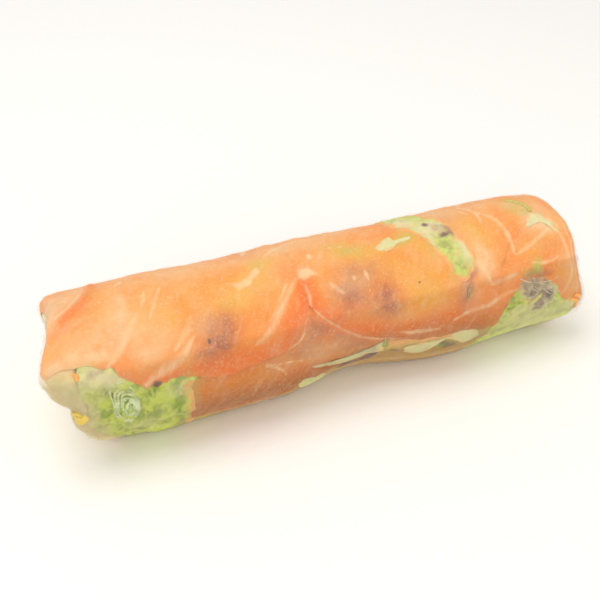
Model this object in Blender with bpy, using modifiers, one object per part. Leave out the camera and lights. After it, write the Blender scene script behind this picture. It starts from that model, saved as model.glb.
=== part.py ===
"""A rice paper roll with smoked salmon, lying on its flat underside.

A wetted sheet of rice paper is wound once round the filling and a little further, with its
ends folded in. Just under it lie slices of salmon and leaves, and behind those the packed core.
X runs along the roll, Z is up, and the seam of the paper is low on the front (-Y).

Places on the roll are a distance x along it and an angle in degrees round it: 0 faces the
front, 90 is the top, 180 the back and -90 the underside.
"""

import math

import bmesh
import bpy
import numpy as np

MM = 0.001

# The roll's outline.
LEFT_END = -75.0 * MM
RIGHT_END = 73.6 * MM
RADIUS = 20.5 * MM
AXIS_HEIGHT = 17.3 * MM
UNDERSIDE_BLEND = 1.2 * MM
LEFT_CORNER = 3.5 * MM
RIGHT_CORNER = 4.5 * MM
END_DISH = 1.2 * MM
END_PLEATS = 5
PLEAT_DEPTH = 0.45 * MM
PINHOLE = 0.08

# Where the filling pushes the paper out (+) or lets it sink: x, angle, height, reach along the
# roll, reach round it in degrees.
LUMPS = (
    (-50 * MM, 95, 0.7 * MM, 14 * MM, 60),
    (-28 * MM, 95, -0.3 * MM, 10 * MM, 60),
    (-5 * MM, 95, 0.5 * MM, 12 * MM, 60),
    (21 * MM, 95, -0.5 * MM, 4 * MM, 50),
    (35 * MM, 95, -0.3 * MM, 20 * MM, 60),
    (-45 * MM, -35, 1.0 * MM, 16 * MM, 60),
    (-20 * MM, -35, 0.9 * MM, 12 * MM, 60),
    (3 * MM, -35, -2.3 * MM, 12 * MM, 60),
    (33 * MM, -35, 1.5 * MM, 13 * MM, 60),
    (74 * MM, 95, -1.7 * MM, 12 * MM, 70),
)

# Where an end reaches further out (+) or is drawn in: end, angle, distance, reach in degrees.
END_REACHES = (
    ("left", 38, 4.6 * MM, 30),
    ("left", 9, -2.7 * MM, 9),
    ("left", 95, -2.5 * MM, 35),
    ("left", -90, -14.0 * MM, 65),
    ("right", 65, 0.8 * MM, 25),
    ("right", -17, 4.4 * MM, 24),
    ("right", 105, -0.4 * MM, 30),
    ("right", -110, -5.0 * MM, 45),
)
END_STRETCH = 35 * MM

# The paper, wound from its loose edge low on the front, over the top and round to the front.
PAPER = 0.5 * MM
GAP = 0.3 * MM
SEAM = -28.0
OVERLAP = 60.0
TUCK_START = 300.0
PAPER_TURNS = 36

# The filling lies in layers. Slices and leaves take the first two, and the core is behind them.
LAYER = 2.0 * MM
DEEP_LAYER = 1.6 * MM
SLACK = 0.6 * MM
CORE_FROM_ENDS = 10.0 * MM
CORE_STEPS = 24
CORE_RINGS = 14


def smooth_step(low, high, value):
    """0 up to low, 1 from high, and a soft ramp between them."""
    ramp = np.clip((value - low) / (high - low), 0.0, 1.0)
    return ramp * ramp * (3.0 - 2.0 * ramp)


def turned(angle, centre):
    """The angle measured from centre, from -180 to 180."""
    return (angle - centre + 180.0) % 360.0 - 180.0


def roll_radius(x, angle):
    radius = RADIUS + 0.0 * x * angle
    for lump_x, lump_angle, height, along, around in LUMPS:
        far_along = (x - lump_x) / along
        far_around = turned(angle, lump_angle) / around
        radius = radius + height * np.exp(-far_along**2 - far_around**2)
    return radius


def end_shift(x, angle):
    """How far an uneven end carries the paper along the roll."""
    shift = 0.0 * x * angle
    for end, reach_angle, distance, around in END_REACHES:
        side, length = (-1.0, -LEFT_END) if end == "left" else (1.0, RIGHT_END)
        near_end = np.clip((side * x - length + END_STRETCH) / END_STRETCH, 0.0, 1.1) ** 2
        shift = shift + side * distance * near_end * np.exp(-(turned(angle, reach_angle) / around) ** 2)
    return shift


def roll_point(x, angle, share=1.0):
    """A point of the roll, at a share of its radius. Below the axis it meets a flat underside."""
    turn = np.radians(angle)
    radius = roll_radius(x, angle) * share
    y = -radius * np.cos(turn)
    z = AXIS_HEIGHT + radius * np.sin(turn)
    blend = (z + UNDERSIDE_BLEND) ** 2 / (4.0 * UNDERSIDE_BLEND)
    z = np.where(z < -UNDERSIDE_BLEND, 0.0, np.where(z < UNDERSIDE_BLEND, blend, z))
    return np.stack([x + end_shift(x, angle) * share, y, z], axis=-1)


def paper_profile():
    """The paper's run from the middle of the left end to the middle of the right one, as pairs
    of x and the share of the radius."""
    left_edge = 1.0 - LEFT_CORNER / RADIUS
    right_edge = 1.0 - RIGHT_CORNER / RADIUS
    left_face = [(LEFT_END, share) for share in np.linspace(PINHOLE, left_edge, 4)]
    quarter = np.radians(np.linspace(0.0, 90.0, 4))[1:]
    left_round = [
        (LEFT_END + LEFT_CORNER * (1 - math.cos(a)), left_edge + LEFT_CORNER / RADIUS * math.sin(a))
        for a in quarter
    ]
    side = [(x, 1.0) for x in np.linspace(LEFT_END + LEFT_CORNER, RIGHT_END - RIGHT_CORNER, 23)[1:]]
    right_round = [
        (RIGHT_END - RIGHT_CORNER * (1 - math.sin(a)), right_edge + RIGHT_CORNER / RADIUS * math.cos(a))
        for a in quarter
    ]
    right_face = [(RIGHT_END, share) for share in np.linspace(right_edge, PINHOLE, 4)[1:]]
    return np.array(left_face + left_round + side + right_round + right_face)


def end_hollow(x, angle, share):
    """The folded ends sink towards their middles, in a few soft pleats."""
    on_face = smooth_step(0.9, 0.35, share)
    pleats = PLEAT_DEPTH * np.sin(np.radians(END_PLEATS * angle)) * smooth_step(0.1, 0.4, share)
    return -np.sign(x) * on_face * (END_DISH + pleats)


def paper_depth(angle):
    """How deep the inner face of the innermost paper lies. It is double behind the seam."""
    seam_side = turned(angle, SEAM)
    tucked = smooth_step(TUCK_START - 360.0 - SEAM, -2.0, seam_side)
    doubled = tucked * (1.0 - smooth_step(OVERLAP + 1.0, OVERLAP + 12.0, seam_side))
    return PAPER + (PAPER + GAP) * doubled


def filling_point(x, angle, depth):
    """A point of the filling, at a depth below the outside of the paper."""
    length = np.where(x < 0.0, -LEFT_END, RIGHT_END)
    corner = np.where(x < 0.0, LEFT_CORNER, RIGHT_CORNER)
    inside = np.abs(x) * length / (length - depth)
    over = np.clip((inside - (length - corner)) / corner, 0.0, 1.0)
    share = 1.0 - corner / RADIUS * (1.0 - np.sqrt(1.0 - over**2))
    radius = roll_radius(x, angle) * share - depth
    point = roll_point(x, angle, radius / roll_radius(x, angle))
    point[..., 2] = np.maximum(point[..., 2], depth)
    return point


def middle_of_roll():
    """The middle of the outline's box, which goes on the Z axis."""
    places, angles = np.meshgrid(np.linspace(LEFT_END, RIGHT_END, 60), np.linspace(0.0, 360.0, 73))
    side = roll_point(places, angles).reshape(-1, 3)
    return np.array([*(side.min(axis=0) + side.max(axis=0))[:2] / 2.0, 0.0])


MIDDLE = middle_of_roll()


def colour_material(name, colour, roughness):
    material = bpy.data.materials.new(name)
    material.use_nodes = True
    shader = material.node_tree.nodes["Principled BSDF"]
    shader.inputs["Base Color"].default_value = (*colour, 1.0)
    shader.inputs["Roughness"].default_value = roughness
    shader.inputs["Metallic"].default_value = 0.0
    return material


def grid_mesh(name, columns, rows, place):
    """A grid of faces whose corners place(u, v) puts on the roll, u and v from 0 to 1."""
    mesh = bpy.data.meshes.new(name)
    grid = bmesh.new()
    bmesh.ops.create_grid(grid, x_segments=columns, y_segments=rows, size=0.5)
    flat = np.array([vertex.co[:] for vertex in grid.verts]) + 0.5
    for vertex, point in zip(grid.verts, place(flat[:, 0], flat[:, 1]) - MIDDLE):
        vertex.co = point
    grid.to_mesh(mesh)
    grid.free()
    return mesh


def add_part(name, mesh, material):
    part = bpy.data.objects.new(name, mesh)
    part.data.materials.append(material)
    roll.objects.link(part)
    for face in part.data.polygons:
        face.use_smooth = True
    return part


def thicken_inwards(part, thickness):
    shell = part.modifiers.new("Thickness", "SOLIDIFY")
    shell.thickness = thickness
    shell.offset = -1.0


def add_wrapper():
    """The sheet of rice paper, wound through 420 degrees so that its last part is double."""
    profile = paper_profile()
    steps = np.linspace(0.0, 1.0, len(profile))

    def outside(u, angle):
        x = np.interp(u, steps, profile[:, 0])
        share = np.interp(u, steps, profile[:, 1])
        point = roll_point(x, angle, share)
        point[..., 0] += end_hollow(x, angle, share)
        return point

    def place(u, v):
        angle = SEAM + v * (360.0 + OVERLAP)
        point = outside(u, angle)
        along = outside(np.minimum(u + 0.002, 1.0), angle) - outside(np.maximum(u - 0.002, 0.0), angle)
        around = outside(u, angle + 0.5) - outside(u, angle - 0.5)
        inwards = np.cross(around, along)
        inwards /= np.linalg.norm(inwards, axis=-1, keepdims=True)
        tuck = smooth_step(TUCK_START, SEAM + 360.0 - 2.0, angle)[..., None]
        return point + inwards * tuck * (PAPER + GAP)

    mesh = grid_mesh("rice_paper_wrapper", len(profile) - 1, PAPER_TURNS, place)
    wrapper = add_part("rice_paper_wrapper", mesh, colour_material("rice paper", (0.93, 0.66, 0.42), 0.35))
    thicken_inwards(wrapper, PAPER)


def add_piece(name, material, left, right, lower, upper, thickness=LAYER, columns=8, rows=8, sunk=None):
    """A slice or leaf that follows the paper. left and right give x along its length, from its
    lower edge (0) to its upper one (1); lower and upper give the angle of those edges at x.
    sunk(x, angle) is 1 where the piece lies one layer deeper, under its neighbour."""

    def place(u, v):
        x = (1.0 - u) * np.interp(v, *zip(*left)) + u * np.interp(v, *zip(*right))
        angle = (1.0 - v) * np.interp(x, *zip(*lower)) + v * np.interp(x, *zip(*upper))
        depth = paper_depth(angle) + SLACK
        if sunk is not None:
            depth = depth + sunk(x, angle) * (LAYER + SLACK)
        return filling_point(x, angle, depth)

    mesh = grid_mesh(name, columns, rows, place)
    thicken_inwards(add_part(name, mesh, material), thickness)


def add_salmon():
    """Three slices wrap the top side by side, and the edge of a fourth shows in front of them."""
    salmon = colour_material("smoked salmon", (0.93, 0.38, 0.17), 0.45)
    add_piece(
        "salmon_slice_left",
        salmon,
        left=((0.0, -72.6 * MM), (0.25, -73.0 * MM), (1.0, -71.0 * MM)),
        right=((0.0, -9.4 * MM), (0.3, -8.6 * MM), (1.0, -12.0 * MM)),
        lower=((-73 * MM, 42), (-60 * MM, 32), (-53 * MM, 16), (-30 * MM, 15), (-18 * MM, 22), (-9 * MM, 42)),
        upper=((-73 * MM, 205), (-9 * MM, 196)),
        columns=10,
        rows=14,
    )
    add_piece(
        "salmon_slice_middle",
        salmon,
        left=((0.0, 7.0 * MM), (0.12, -2.0 * MM), (0.3, -7.9 * MM), (1.0, -11.3 * MM)),
        right=((0.0, 34.0 * MM), (0.3, 31.0 * MM), (0.55, 23.5 * MM), (1.0, 20.0 * MM)),
        lower=((-8 * MM, 16), (8 * MM, 8), (22 * MM, -2), (34 * MM, -3)),
        upper=((-11 * MM, 196), (24 * MM, 204)),
        columns=7,
        rows=14,
    )
    add_piece(
        "salmon_slice_right",
        salmon,
        left=((0.0, 34.7 * MM), (0.2, 38.0 * MM), (0.45, 38.4 * MM), (1.0, 31.0 * MM)),
        right=((0.0, 70.4 * MM), (1.0, 70.0 * MM)),
        lower=((34 * MM, -3), (44 * MM, 4), (52 * MM, 34), (63 * MM, 36), (67 * MM, 2), (72 * MM, -2)),
        upper=((31 * MM, 204), (70 * MM, 210)),
        columns=10,
        rows=14,
    )
    add_piece(
        "salmon_slice_under",
        salmon,
        left=((0.0, -41.0 * MM), (1.0, -40.0 * MM)),
        right=((0.0, 13.0 * MM), (1.0, 6.0 * MM)),
        lower=((-40 * MM, -31), (-20 * MM, -31), (13 * MM, -6)),
        upper=((-40 * MM, 34), (-9 * MM, 50), (13 * MM, 34)),
        thickness=DEEP_LAYER,
        sunk=lambda x, angle: smooth_step(-5.0, 5.0, angle),
    )


def add_leaves():
    """Green leaves fill the gaps between the slices, with one frilly red leaf near the right end."""
    lettuce = colour_material("green lettuce", (0.56, 0.66, 0.28), 0.4)
    red_lettuce = colour_material("red lettuce", (0.32, 0.22, 0.26), 0.4)
    add_piece(
        "lettuce_leaf_left",
        lettuce,
        left=((0.0, -60.0 * MM), (0.6, -68.0 * MM), (1.0, -68.5 * MM)),
        right=((0.0, -41.8 * MM), (1.0, -41.8 * MM)),
        lower=((-68 * MM, -26), (-42 * MM, -36)),
        upper=((-68.5 * MM, 37), (-61 * MM, 30), (-55 * MM, 14), (-42 * MM, 12)),
        thickness=DEEP_LAYER,
        sunk=lambda x, angle: 1.0 - smooth_step(-54.0 * MM, -50.0 * MM, x),
    )
    add_piece(
        "lettuce_leaf_band",
        lettuce,
        left=((0.0, 35.3 * MM), (0.2, 31.8 * MM), (0.5, 24.3 * MM), (1.0, 20.8 * MM)),
        right=((0.0, 36.6 * MM), (0.2, 37.4 * MM), (0.5, 36.0 * MM), (1.0, 30.2 * MM)),
        lower=((20 * MM, 34), (38 * MM, 34)),
        upper=((20 * MM, 204), (38 * MM, 204)),
        columns=4,
        rows=12,
    )
    add_piece(
        "lettuce_leaf_right",
        lettuce,
        left=((0.0, 46.0 * MM), (1.0, 50.0 * MM)),
        right=((0.0, 68.0 * MM), (1.0, 64.0 * MM)),
        lower=((46 * MM, -36), (68 * MM, -30)),
        upper=((46 * MM, 2), (53 * MM, 30), (62 * MM, 32), (68 * MM, -5)),
        thickness=DEEP_LAYER,
        sunk=lambda x, angle: smooth_step(49.0 * MM, 52.0 * MM, x) * smooth_step(-24.0, -16.0, angle),
    )
    add_piece(
        "red_lettuce_frill",
        red_lettuce,
        left=((0.0, 53.5 * MM), (1.0, 54.5 * MM)),
        right=((0.0, 62.0 * MM), (1.0, 61.0 * MM)),
        lower=((53 * MM, -10), (62 * MM, -10)),
        upper=((53 * MM, 31), (62 * MM, 33)),
        columns=5,
        rows=5,
    )
    add_piece(
        "lettuce_leaf_under",
        lettuce,
        left=((0.0, -36.0 * MM), (1.0, -36.0 * MM)),
        right=((0.0, 43.5 * MM), (1.0, 43.5 * MM)),
        lower=((-36 * MM, -148), (44 * MM, -148)),
        upper=((-36 * MM, -37), (-20 * MM, -37), (13 * MM, -12), (44 * MM, -12)),
        columns=14,
        rows=12,
    )


def add_noodle_coil():
    """A coil of clear rice noodles lies against the paper near the left end."""
    coil_x, coil_angle, half_width, half_turn = -60.5 * MM, 7.0, 4.6 * MM, 15.0
    noodles = colour_material("rice noodles", (0.62, 0.68, 0.48), 0.35)
    mesh = bpy.data.meshes.new("noodle_coil")
    coil = bmesh.new()
    bmesh.ops.create_uvsphere(coil, u_segments=16, v_segments=8, radius=1.0)
    for vertex in coil.verts:
        across, around, out = vertex.co
        angle = coil_angle + half_turn * around
        depth = paper_depth(angle) + SLACK + LAYER / 2.0 * (1.0 - out)
        vertex.co = filling_point(np.array(coil_x + half_width * across), np.array(angle), depth) - MIDDLE
    coil.normal_update()
    bmesh.ops.recalc_face_normals(coil, faces=coil.faces)
    coil.to_mesh(mesh)
    coil.free()
    add_part("noodle_coil", mesh, noodles)


def add_core():
    """The packed noodles and leaves behind the pieces that show."""
    core_material = colour_material("packed filling", (0.74, 0.68, 0.42), 0.5)
    mesh = bpy.data.meshes.new("filling_core")
    core = bmesh.new()
    bmesh.ops.create_uvsphere(core, u_segments=CORE_STEPS, v_segments=CORE_RINGS, radius=1.0)
    half = (RIGHT_END - LEFT_END) / 2.0
    middle_x = (RIGHT_END + LEFT_END) / 2.0
    for vertex in core.verts:
        angle = math.degrees(math.atan2(vertex.co.y, vertex.co.x))
        ring = math.asin(max(-1.0, min(1.0, vertex.co.z)))
        share = min(1.0, 1.9 * math.cos(ring)) ** 0.8
        depth = paper_depth(angle) + 2.0 * (LAYER + SLACK)
        x = middle_x + (half - CORE_FROM_ENDS) * math.sin(ring)
        radius = (roll_radius(x, angle) - depth) * share
        vertex.co = roll_point(np.array(x), angle, radius / roll_radius(x, angle)) - MIDDLE
        vertex.co.z = max(vertex.co.z, depth)
    core.normal_update()
    bmesh.ops.recalc_face_normals(core, faces=core.faces)
    core.to_mesh(mesh)
    core.free()
    add_part("filling_core", mesh, core_material)


for leftover in list(bpy.data.objects):
    bpy.data.objects.remove(leftover, do_unlink=True)

roll = bpy.data.collections.new("rice_paper_roll")
bpy.context.scene.collection.children.link(roll)

add_wrapper()
add_salmon()
add_leaves()
add_noodle_coil()
add_core()
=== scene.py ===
import math

import bpy
import numpy as np
from mathutils import Euler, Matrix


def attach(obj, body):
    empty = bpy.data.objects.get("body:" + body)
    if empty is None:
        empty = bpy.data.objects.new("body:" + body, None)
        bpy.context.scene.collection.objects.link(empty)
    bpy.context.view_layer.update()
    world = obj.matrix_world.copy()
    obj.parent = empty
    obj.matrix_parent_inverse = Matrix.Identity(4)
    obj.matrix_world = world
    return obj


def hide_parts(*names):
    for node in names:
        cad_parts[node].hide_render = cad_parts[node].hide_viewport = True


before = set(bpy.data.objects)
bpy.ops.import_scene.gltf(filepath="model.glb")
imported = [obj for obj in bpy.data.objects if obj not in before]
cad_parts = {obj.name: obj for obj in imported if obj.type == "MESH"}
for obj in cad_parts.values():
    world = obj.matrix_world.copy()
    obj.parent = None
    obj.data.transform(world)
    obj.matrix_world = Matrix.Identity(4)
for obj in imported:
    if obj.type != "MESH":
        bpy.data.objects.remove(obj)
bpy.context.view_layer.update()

# ---- The noodles ----------------------------------------------------------------------------
# The middle of the roll is a bundle of boiled rice noodles, laid lengthwise and squeezed into
# a bar by the winding. A plain core carries the outer noodles, which are modelled one by one.

MM = 0.001
LEFT_LENGTH, RIGHT_LENGTH = 75.0, 73.6
RADIUS = 20.5
AXIS_HEIGHT = 17.3
UNDERSIDE_BLEND = 1.2
LEFT_CORNER, RIGHT_CORNER = 3.5, 4.5
DEGREE = math.radians(RADIUS)  # mm round the roll for each degree

# Where the filling pushes the roll out (+) or lets it sink: x, angle, height, reach along the
# roll, reach round it in degrees.
LUMPS = (
    (-50, 95, 0.7, 14, 60),
    (-28, 95, -0.3, 10, 60),
    (-5, 95, 0.5, 12, 60),
    (21, 95, -0.5, 4, 50),
    (35, 95, -0.3, 20, 60),
    (-45, -35, 1.0, 16, 60),
    (-20, -35, 0.9, 12, 60),
    (3, -35, -2.3, 12, 60),
    (33, -35, 1.5, 13, 60),
    (74, 95, -1.7, 12, 70),
)

# Where an end reaches further out (+) or is drawn in: side, angle, distance, reach in degrees.
END_REACHES = (
    (-1, 38, 4.6, 30),
    (-1, 9, -2.7, 9),
    (-1, 95, -2.5, 35),
    (-1, -90, -14.0, 65),
    (1, 65, 0.8, 25),
    (1, -17, 4.4, 24),
    (1, 105, -0.4, 30),
    (1, -110, -5.0, 45),
)
END_STRETCH = 35.0
END_DISH = 1.2
END_PLEATS = 5
PLEAT_DEPTH = 0.45

CORE_DEPTH = 5.2
CORE_PAST_LEFT, CORE_PAST_RIGHT = 14.0, 13.0  # how far its ends run on over the end faces
NOODLE_THICKNESS = 1.2
PACKED_NOODLES, PACKED_POINTS = 96, 84
STRAND_UNEVENNESS = 0.5


def smooth_step(low, high, value):
    """0 up to low, 1 from high, and a soft ramp between them."""
    ramp = np.clip((value - low) / (high - low), 0.0, 1.0)
    return ramp * ramp * (3.0 - 2.0 * ramp)


def turned(angle, centre):
    """The angle measured from centre, from -180 to 180."""
    return (angle - centre + 180.0) % 360.0 - 180.0


def roll_radius(x, angle):
    """How far out the roll reaches at a place, in mm from its axis."""
    radius = RADIUS + 0.0 * x * angle
    for lump_x, lump_angle, height, along, around in LUMPS:
        far_around = turned(angle, lump_angle) / around
        radius = radius + height * np.exp(-(((x - lump_x) / along) ** 2) - far_around**2)
    return radius


def end_shift(x, angle):
    """How far an uneven end carries the filling and the paper along the roll."""
    shift = 0.0 * x * angle
    for side, reach_angle, distance, around in END_REACHES:
        length = LEFT_LENGTH if side < 0 else RIGHT_LENGTH
        near_end = np.clip((side * x - length + END_STRETCH) / END_STRETCH, 0.0, 1.1) ** 2
        shift = shift + side * distance * near_end * np.exp(-((turned(angle, reach_angle) / around) ** 2))
    return shift


def roll_point(x, angle, depth):
    """A point under the outside of the roll, in mm. x runs along the roll, and past an end it
    runs on towards the middle of the end face. The angle is 0 at the front and 90 at the top."""
    x, angle, depth = np.broadcast_arrays(*(np.asarray(value, float) for value in (x, angle, depth)))
    side = np.where(x < 0.0, -1.0, 1.0)
    length = np.where(x < 0.0, LEFT_LENGTH, RIGHT_LENGTH)
    corner = np.where(x < 0.0, LEFT_CORNER, RIGHT_CORNER)
    over = np.clip((np.abs(x) - length + corner) / corner, 0.0, 1.0)
    level = np.sqrt(1.0 - over**2)
    along = np.minimum(np.abs(x), length)
    full = roll_radius(side * along, angle)
    onto_face = np.maximum(np.abs(x) - length, 0.0)
    share = np.maximum(full - corner * (1.0 - level) - onto_face - depth * level, 0.0) / full
    pleats = PLEAT_DEPTH * np.sin(np.radians(END_PLEATS * angle)) * smooth_step(0.1, 0.4, share)
    hollow = smooth_step(0.9, 0.35, share) * (END_DISH + pleats)
    along = along - depth * over - hollow
    turn = np.radians(angle)
    y = -full * share * np.cos(turn)
    z = AXIS_HEIGHT + full * share * np.sin(turn)
    blend = (z + UNDERSIDE_BLEND) ** 2 / (4.0 * UNDERSIDE_BLEND)
    z = np.where(z < -UNDERSIDE_BLEND, 0.0, np.where(z < UNDERSIDE_BLEND, blend, z))
    return np.stack(
        [side * along + end_shift(side * along, angle) * share, y, np.maximum(z, depth)], axis=-1
    )


outline_x, outline_angle = np.meshgrid(
    np.linspace(-LEFT_LENGTH, RIGHT_LENGTH, 60), np.linspace(0.0, 360.0, 73)
)
outline = roll_point(
    np.clip(outline_x, LEFT_CORNER - LEFT_LENGTH, RIGHT_LENGTH - RIGHT_CORNER), outline_angle, 0.0
)
outline[..., 0] = outline_x + end_shift(outline_x, outline_angle)
outline = outline.reshape(-1, 3)
MIDDLE = np.array([*(outline.min(axis=0) + outline.max(axis=0))[:2] / 2.0, 0.0])


def place(x, angle, depth=0.0):
    """roll_point in metres, with the roll centred where the CAD has it."""
    return (roll_point(x, angle, depth) - MIDDLE) * MM


WAVES = 12


def uneven(points, size, seed):
    """A soft random field, about -1 to 1, over points in metres. size in mm is how far apart
    its bumps are."""
    random = np.random.default_rng(seed)
    directions = random.normal(size=(WAVES, 3))
    directions /= np.linalg.norm(directions, axis=1, keepdims=True)
    waves = directions.T * (2.0 * math.pi / (size * MM * random.uniform(0.75, 1.5, WAVES)))
    return np.sin(points @ waves + random.uniform(0.0, 2.0 * math.pi, WAVES)).sum(axis=-1) / 3.0


def colour(hex_code):
    """An sRGB hex colour as linear numbers."""
    parts = [int(hex_code[i : i + 2], 16) / 255.0 for i in (1, 3, 5)]
    return (*(p / 12.92 if p <= 0.04045 else ((p + 0.055) / 1.055) ** 2.4 for p in parts), 1.0)


def set_inputs(tree, node, inputs):
    """Links a node's inputs to sockets, or sets their values."""
    for key, value in inputs.items():
        if isinstance(value, bpy.types.NodeSocket):
            tree.links.new(value, node.inputs[key])
        else:
            node.inputs[key].default_value = value


def add_node(tree, kind, inputs=None, **settings):
    """Adds a node with its settings and links."""
    made = tree.nodes.new(kind)
    for name, value in settings.items():
        setattr(made, name, value)
    set_inputs(tree, made, inputs or {})
    return made


def start_material(name):
    """A new material, with its tree, its shader and the piece's own coordinates."""
    material = bpy.data.materials.new(name)
    material.use_nodes = True
    tree = material.node_tree
    coordinates = add_node(tree, "ShaderNodeTexCoord").outputs["Object"]
    return material, tree, tree.nodes["Principled BSDF"], coordinates


def add_piece(name, points, faces, material, node):
    """A smooth mesh piece that stands for a CAD node and rides on the roll. faces is a list of
    lists of point numbers."""
    mesh = bpy.data.meshes.new(name)
    mesh.from_pydata(points.tolist(), [], faces)
    mesh.polygons.foreach_set("use_smooth", [True] * len(mesh.polygons))
    mesh.materials.append(material)
    piece = bpy.data.objects.new(name, mesh)
    bpy.context.scene.collection.objects.link(piece)
    settle(piece, node)
    return piece


def settle(piece, node):
    """The piece rides on the roll and stands for a CAD node, whose imported part is hidden."""
    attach(piece, "root")
    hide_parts(node)


def grid_faces(number):
    """The faces of a grid of numbered points, turned outwards."""
    corners = (number[:-1, :-1], number[1:, :-1], number[1:, 1:], number[:-1, 1:])
    return np.stack(corners, axis=-1).reshape(-1, 4)


# Boiled rice noodle: clear starch, so pale and a little green from the leaves, soft inside and
# wet outside.
noodle, tree, shader, coordinates = start_material("boiled rice noodle")
NOODLE_CLEAR = colour("#C9CFA6")
NOODLE_MILKY = colour("#EFEBCB")
mottle = add_node(
    tree, "ShaderNodeTexNoise", {"Vector": coordinates, "Scale": 1 / (3.0 * MM), "Detail": 3.0}
)
tint = add_node(tree, "ShaderNodeMapRange", {0: mottle.outputs["Fac"], 1: 0.35, 2: 0.65})
noodle_colour = add_node(
    tree, "ShaderNodeMix", {0: tint.outputs[0], 6: NOODLE_CLEAR, 7: NOODLE_MILKY}, data_type="RGBA"
)
set_inputs(tree, shader, {
    "Base Color": noodle_colour.outputs[2], "Roughness": 0.28, "Subsurface Weight": 0.35,
    "Subsurface Radius": (1.0, 0.9, 0.6), "Subsurface Scale": 0.6 * MM,
})


def strand_tree():
    """Sweeps a round noodle along each curve, a little uneven in its thickness."""
    group = bpy.data.node_groups.new("Noodle strands", "GeometryNodeTree")
    group.interface.new_socket("Geometry", in_out="INPUT", socket_type="NodeSocketGeometry")
    for name in ("Noodle thickness", "Unevenness", "Seed"):
        group.interface.new_socket(name, in_out="INPUT", socket_type="NodeSocketFloat")
    group.interface.new_socket("Sides", in_out="INPUT", socket_type="NodeSocketInt")
    group.interface.new_socket("Material", in_out="INPUT", socket_type="NodeSocketMaterial")
    group.interface.new_socket("Geometry", in_out="OUTPUT", socket_type="NodeSocketGeometry")
    given = add_node(group, "NodeGroupInput").outputs
    noise = add_node(
        group, "ShaderNodeTexNoise", {"Scale": 1 / (4.0 * MM), "W": given["Seed"]}, noise_dimensions="4D"
    )
    spread = add_node(group, "ShaderNodeMath", {0: noise.outputs["Fac"], 1: 0.5}, operation="SUBTRACT")
    change = add_node(
        group, "ShaderNodeMath", {0: spread.outputs[0], 1: given["Unevenness"], 2: 1.0},
        operation="MULTIPLY_ADD",
    )
    half = add_node(group, "ShaderNodeMath", {0: given["Noodle thickness"], 1: 0.5}, operation="MULTIPLY")
    path = add_node(
        group, "GeometryNodeSetCurveRadius", {"Curve": given["Geometry"], "Radius": change.outputs[0]}
    )
    ring = add_node(
        group, "GeometryNodeCurvePrimitiveCircle", {"Resolution": given["Sides"], "Radius": half.outputs[0]}
    )
    tube = add_node(
        group, "GeometryNodeCurveToMesh",
        {"Curve": path.outputs[0], "Profile Curve": ring.outputs[0], "Fill Caps": True},
    )
    if "Scale" in tube.inputs:
        radius = add_node(group, "GeometryNodeInputRadius")
        group.links.new(radius.outputs[0], tube.inputs["Scale"])
    smooth = add_node(group, "GeometryNodeSetShadeSmooth", {"Geometry": tube.outputs[0]})
    real = add_node(group, "GeometryNodeRealizeInstances", {"Geometry": smooth.outputs[0]})
    finished = add_node(
        group, "GeometryNodeSetMaterial", {"Geometry": real.outputs[0], "Material": given["Material"]}
    )
    add_node(group, "NodeGroupOutput", {"Geometry": finished.outputs[0]})
    return group


STRANDS = strand_tree()


def add_strands(name, runs, thickness, sides, material, node, seed):
    """One mesh of round strands that follow the runs of points."""
    curve = bpy.data.curves.new(name + "_runs", "CURVE")
    curve.dimensions = "3D"
    for run in runs:
        spline = curve.splines.new("POLY")
        spline.points.add(len(run) - 1)
        spline.points.foreach_set("co", np.column_stack([run, np.ones(len(run))]).ravel())
    carrier = bpy.data.objects.new(name + "_runs", curve)
    bpy.context.scene.collection.objects.link(carrier)
    sweep = carrier.modifiers.new("Strands", "NODES")
    sweep.node_group = STRANDS
    settings = {
        "Noodle thickness": thickness * MM, "Unevenness": STRAND_UNEVENNESS, "Seed": seed, "Sides": sides,
        "Material": material,
    }
    for item in STRANDS.interface.items_tree:
        if item.in_out == "INPUT" and item.name in settings:
            sweep[item.identifier] = settings[item.name]
    evaluated = carrier.evaluated_get(bpy.context.evaluated_depsgraph_get())
    mesh = bpy.data.meshes.new_from_object(evaluated)
    mesh.name = name
    bpy.data.objects.remove(carrier)
    piece = bpy.data.objects.new(name, mesh)
    bpy.context.scene.collection.objects.link(piece)
    settle(piece, node)


def add_core():
    """A closed lumpy bar under the noodles, which carries them."""
    x = np.linspace(-LEFT_LENGTH - CORE_PAST_LEFT, RIGHT_LENGTH + CORE_PAST_RIGHT, 90)[:, None]
    angle = np.linspace(-180.0, 180.0, 61)[None, :-1]
    points = place(x, angle, CORE_DEPTH)
    points = place(x, angle, CORE_DEPTH - 0.5 * uneven(points, 6.0, 3))
    number = np.arange(points[..., 0].size).reshape(points.shape[:2])
    wrapped = np.hstack([number, number[:, :1]])
    faces = grid_faces(wrapped).tolist() + [number[0, ::-1].tolist(), number[-1].tolist()]
    add_piece("filling_bar", points.reshape(-1, 3), faces, noodle, "filling_core")


def packed_runs():
    """The outer noodles of the bundle wander along the core and curl in over its ends."""
    random = np.random.default_rng(11)
    runs = []
    for number in range(PACKED_NOODLES):
        ends = random.uniform(2.0, 11.0, 2)
        x = np.linspace(-LEFT_LENGTH - ends[0], RIGHT_LENGTH + ends[1], PACKED_POINTS)
        sway = sum(
            random.uniform(2.0, 9.0 / wave) * np.sin(wave * x / 24.0 + random.uniform(0.0, 6.3))
            for wave in (1, 2, 3)
        )
        angle = number * 360.0 / PACKED_NOODLES * 5.0 + sway
        depth = 4.3 + 0.9 * np.sin(x / random.uniform(7.0, 15.0) + random.uniform(0.0, 6.3))
        runs.append(place(x, angle, depth))
    return runs


add_core()
add_strands(
    "packed_noodles", packed_runs(), NOODLE_THICKNESS, 5, noodle, "filling_core", seed=2.0
)

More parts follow.
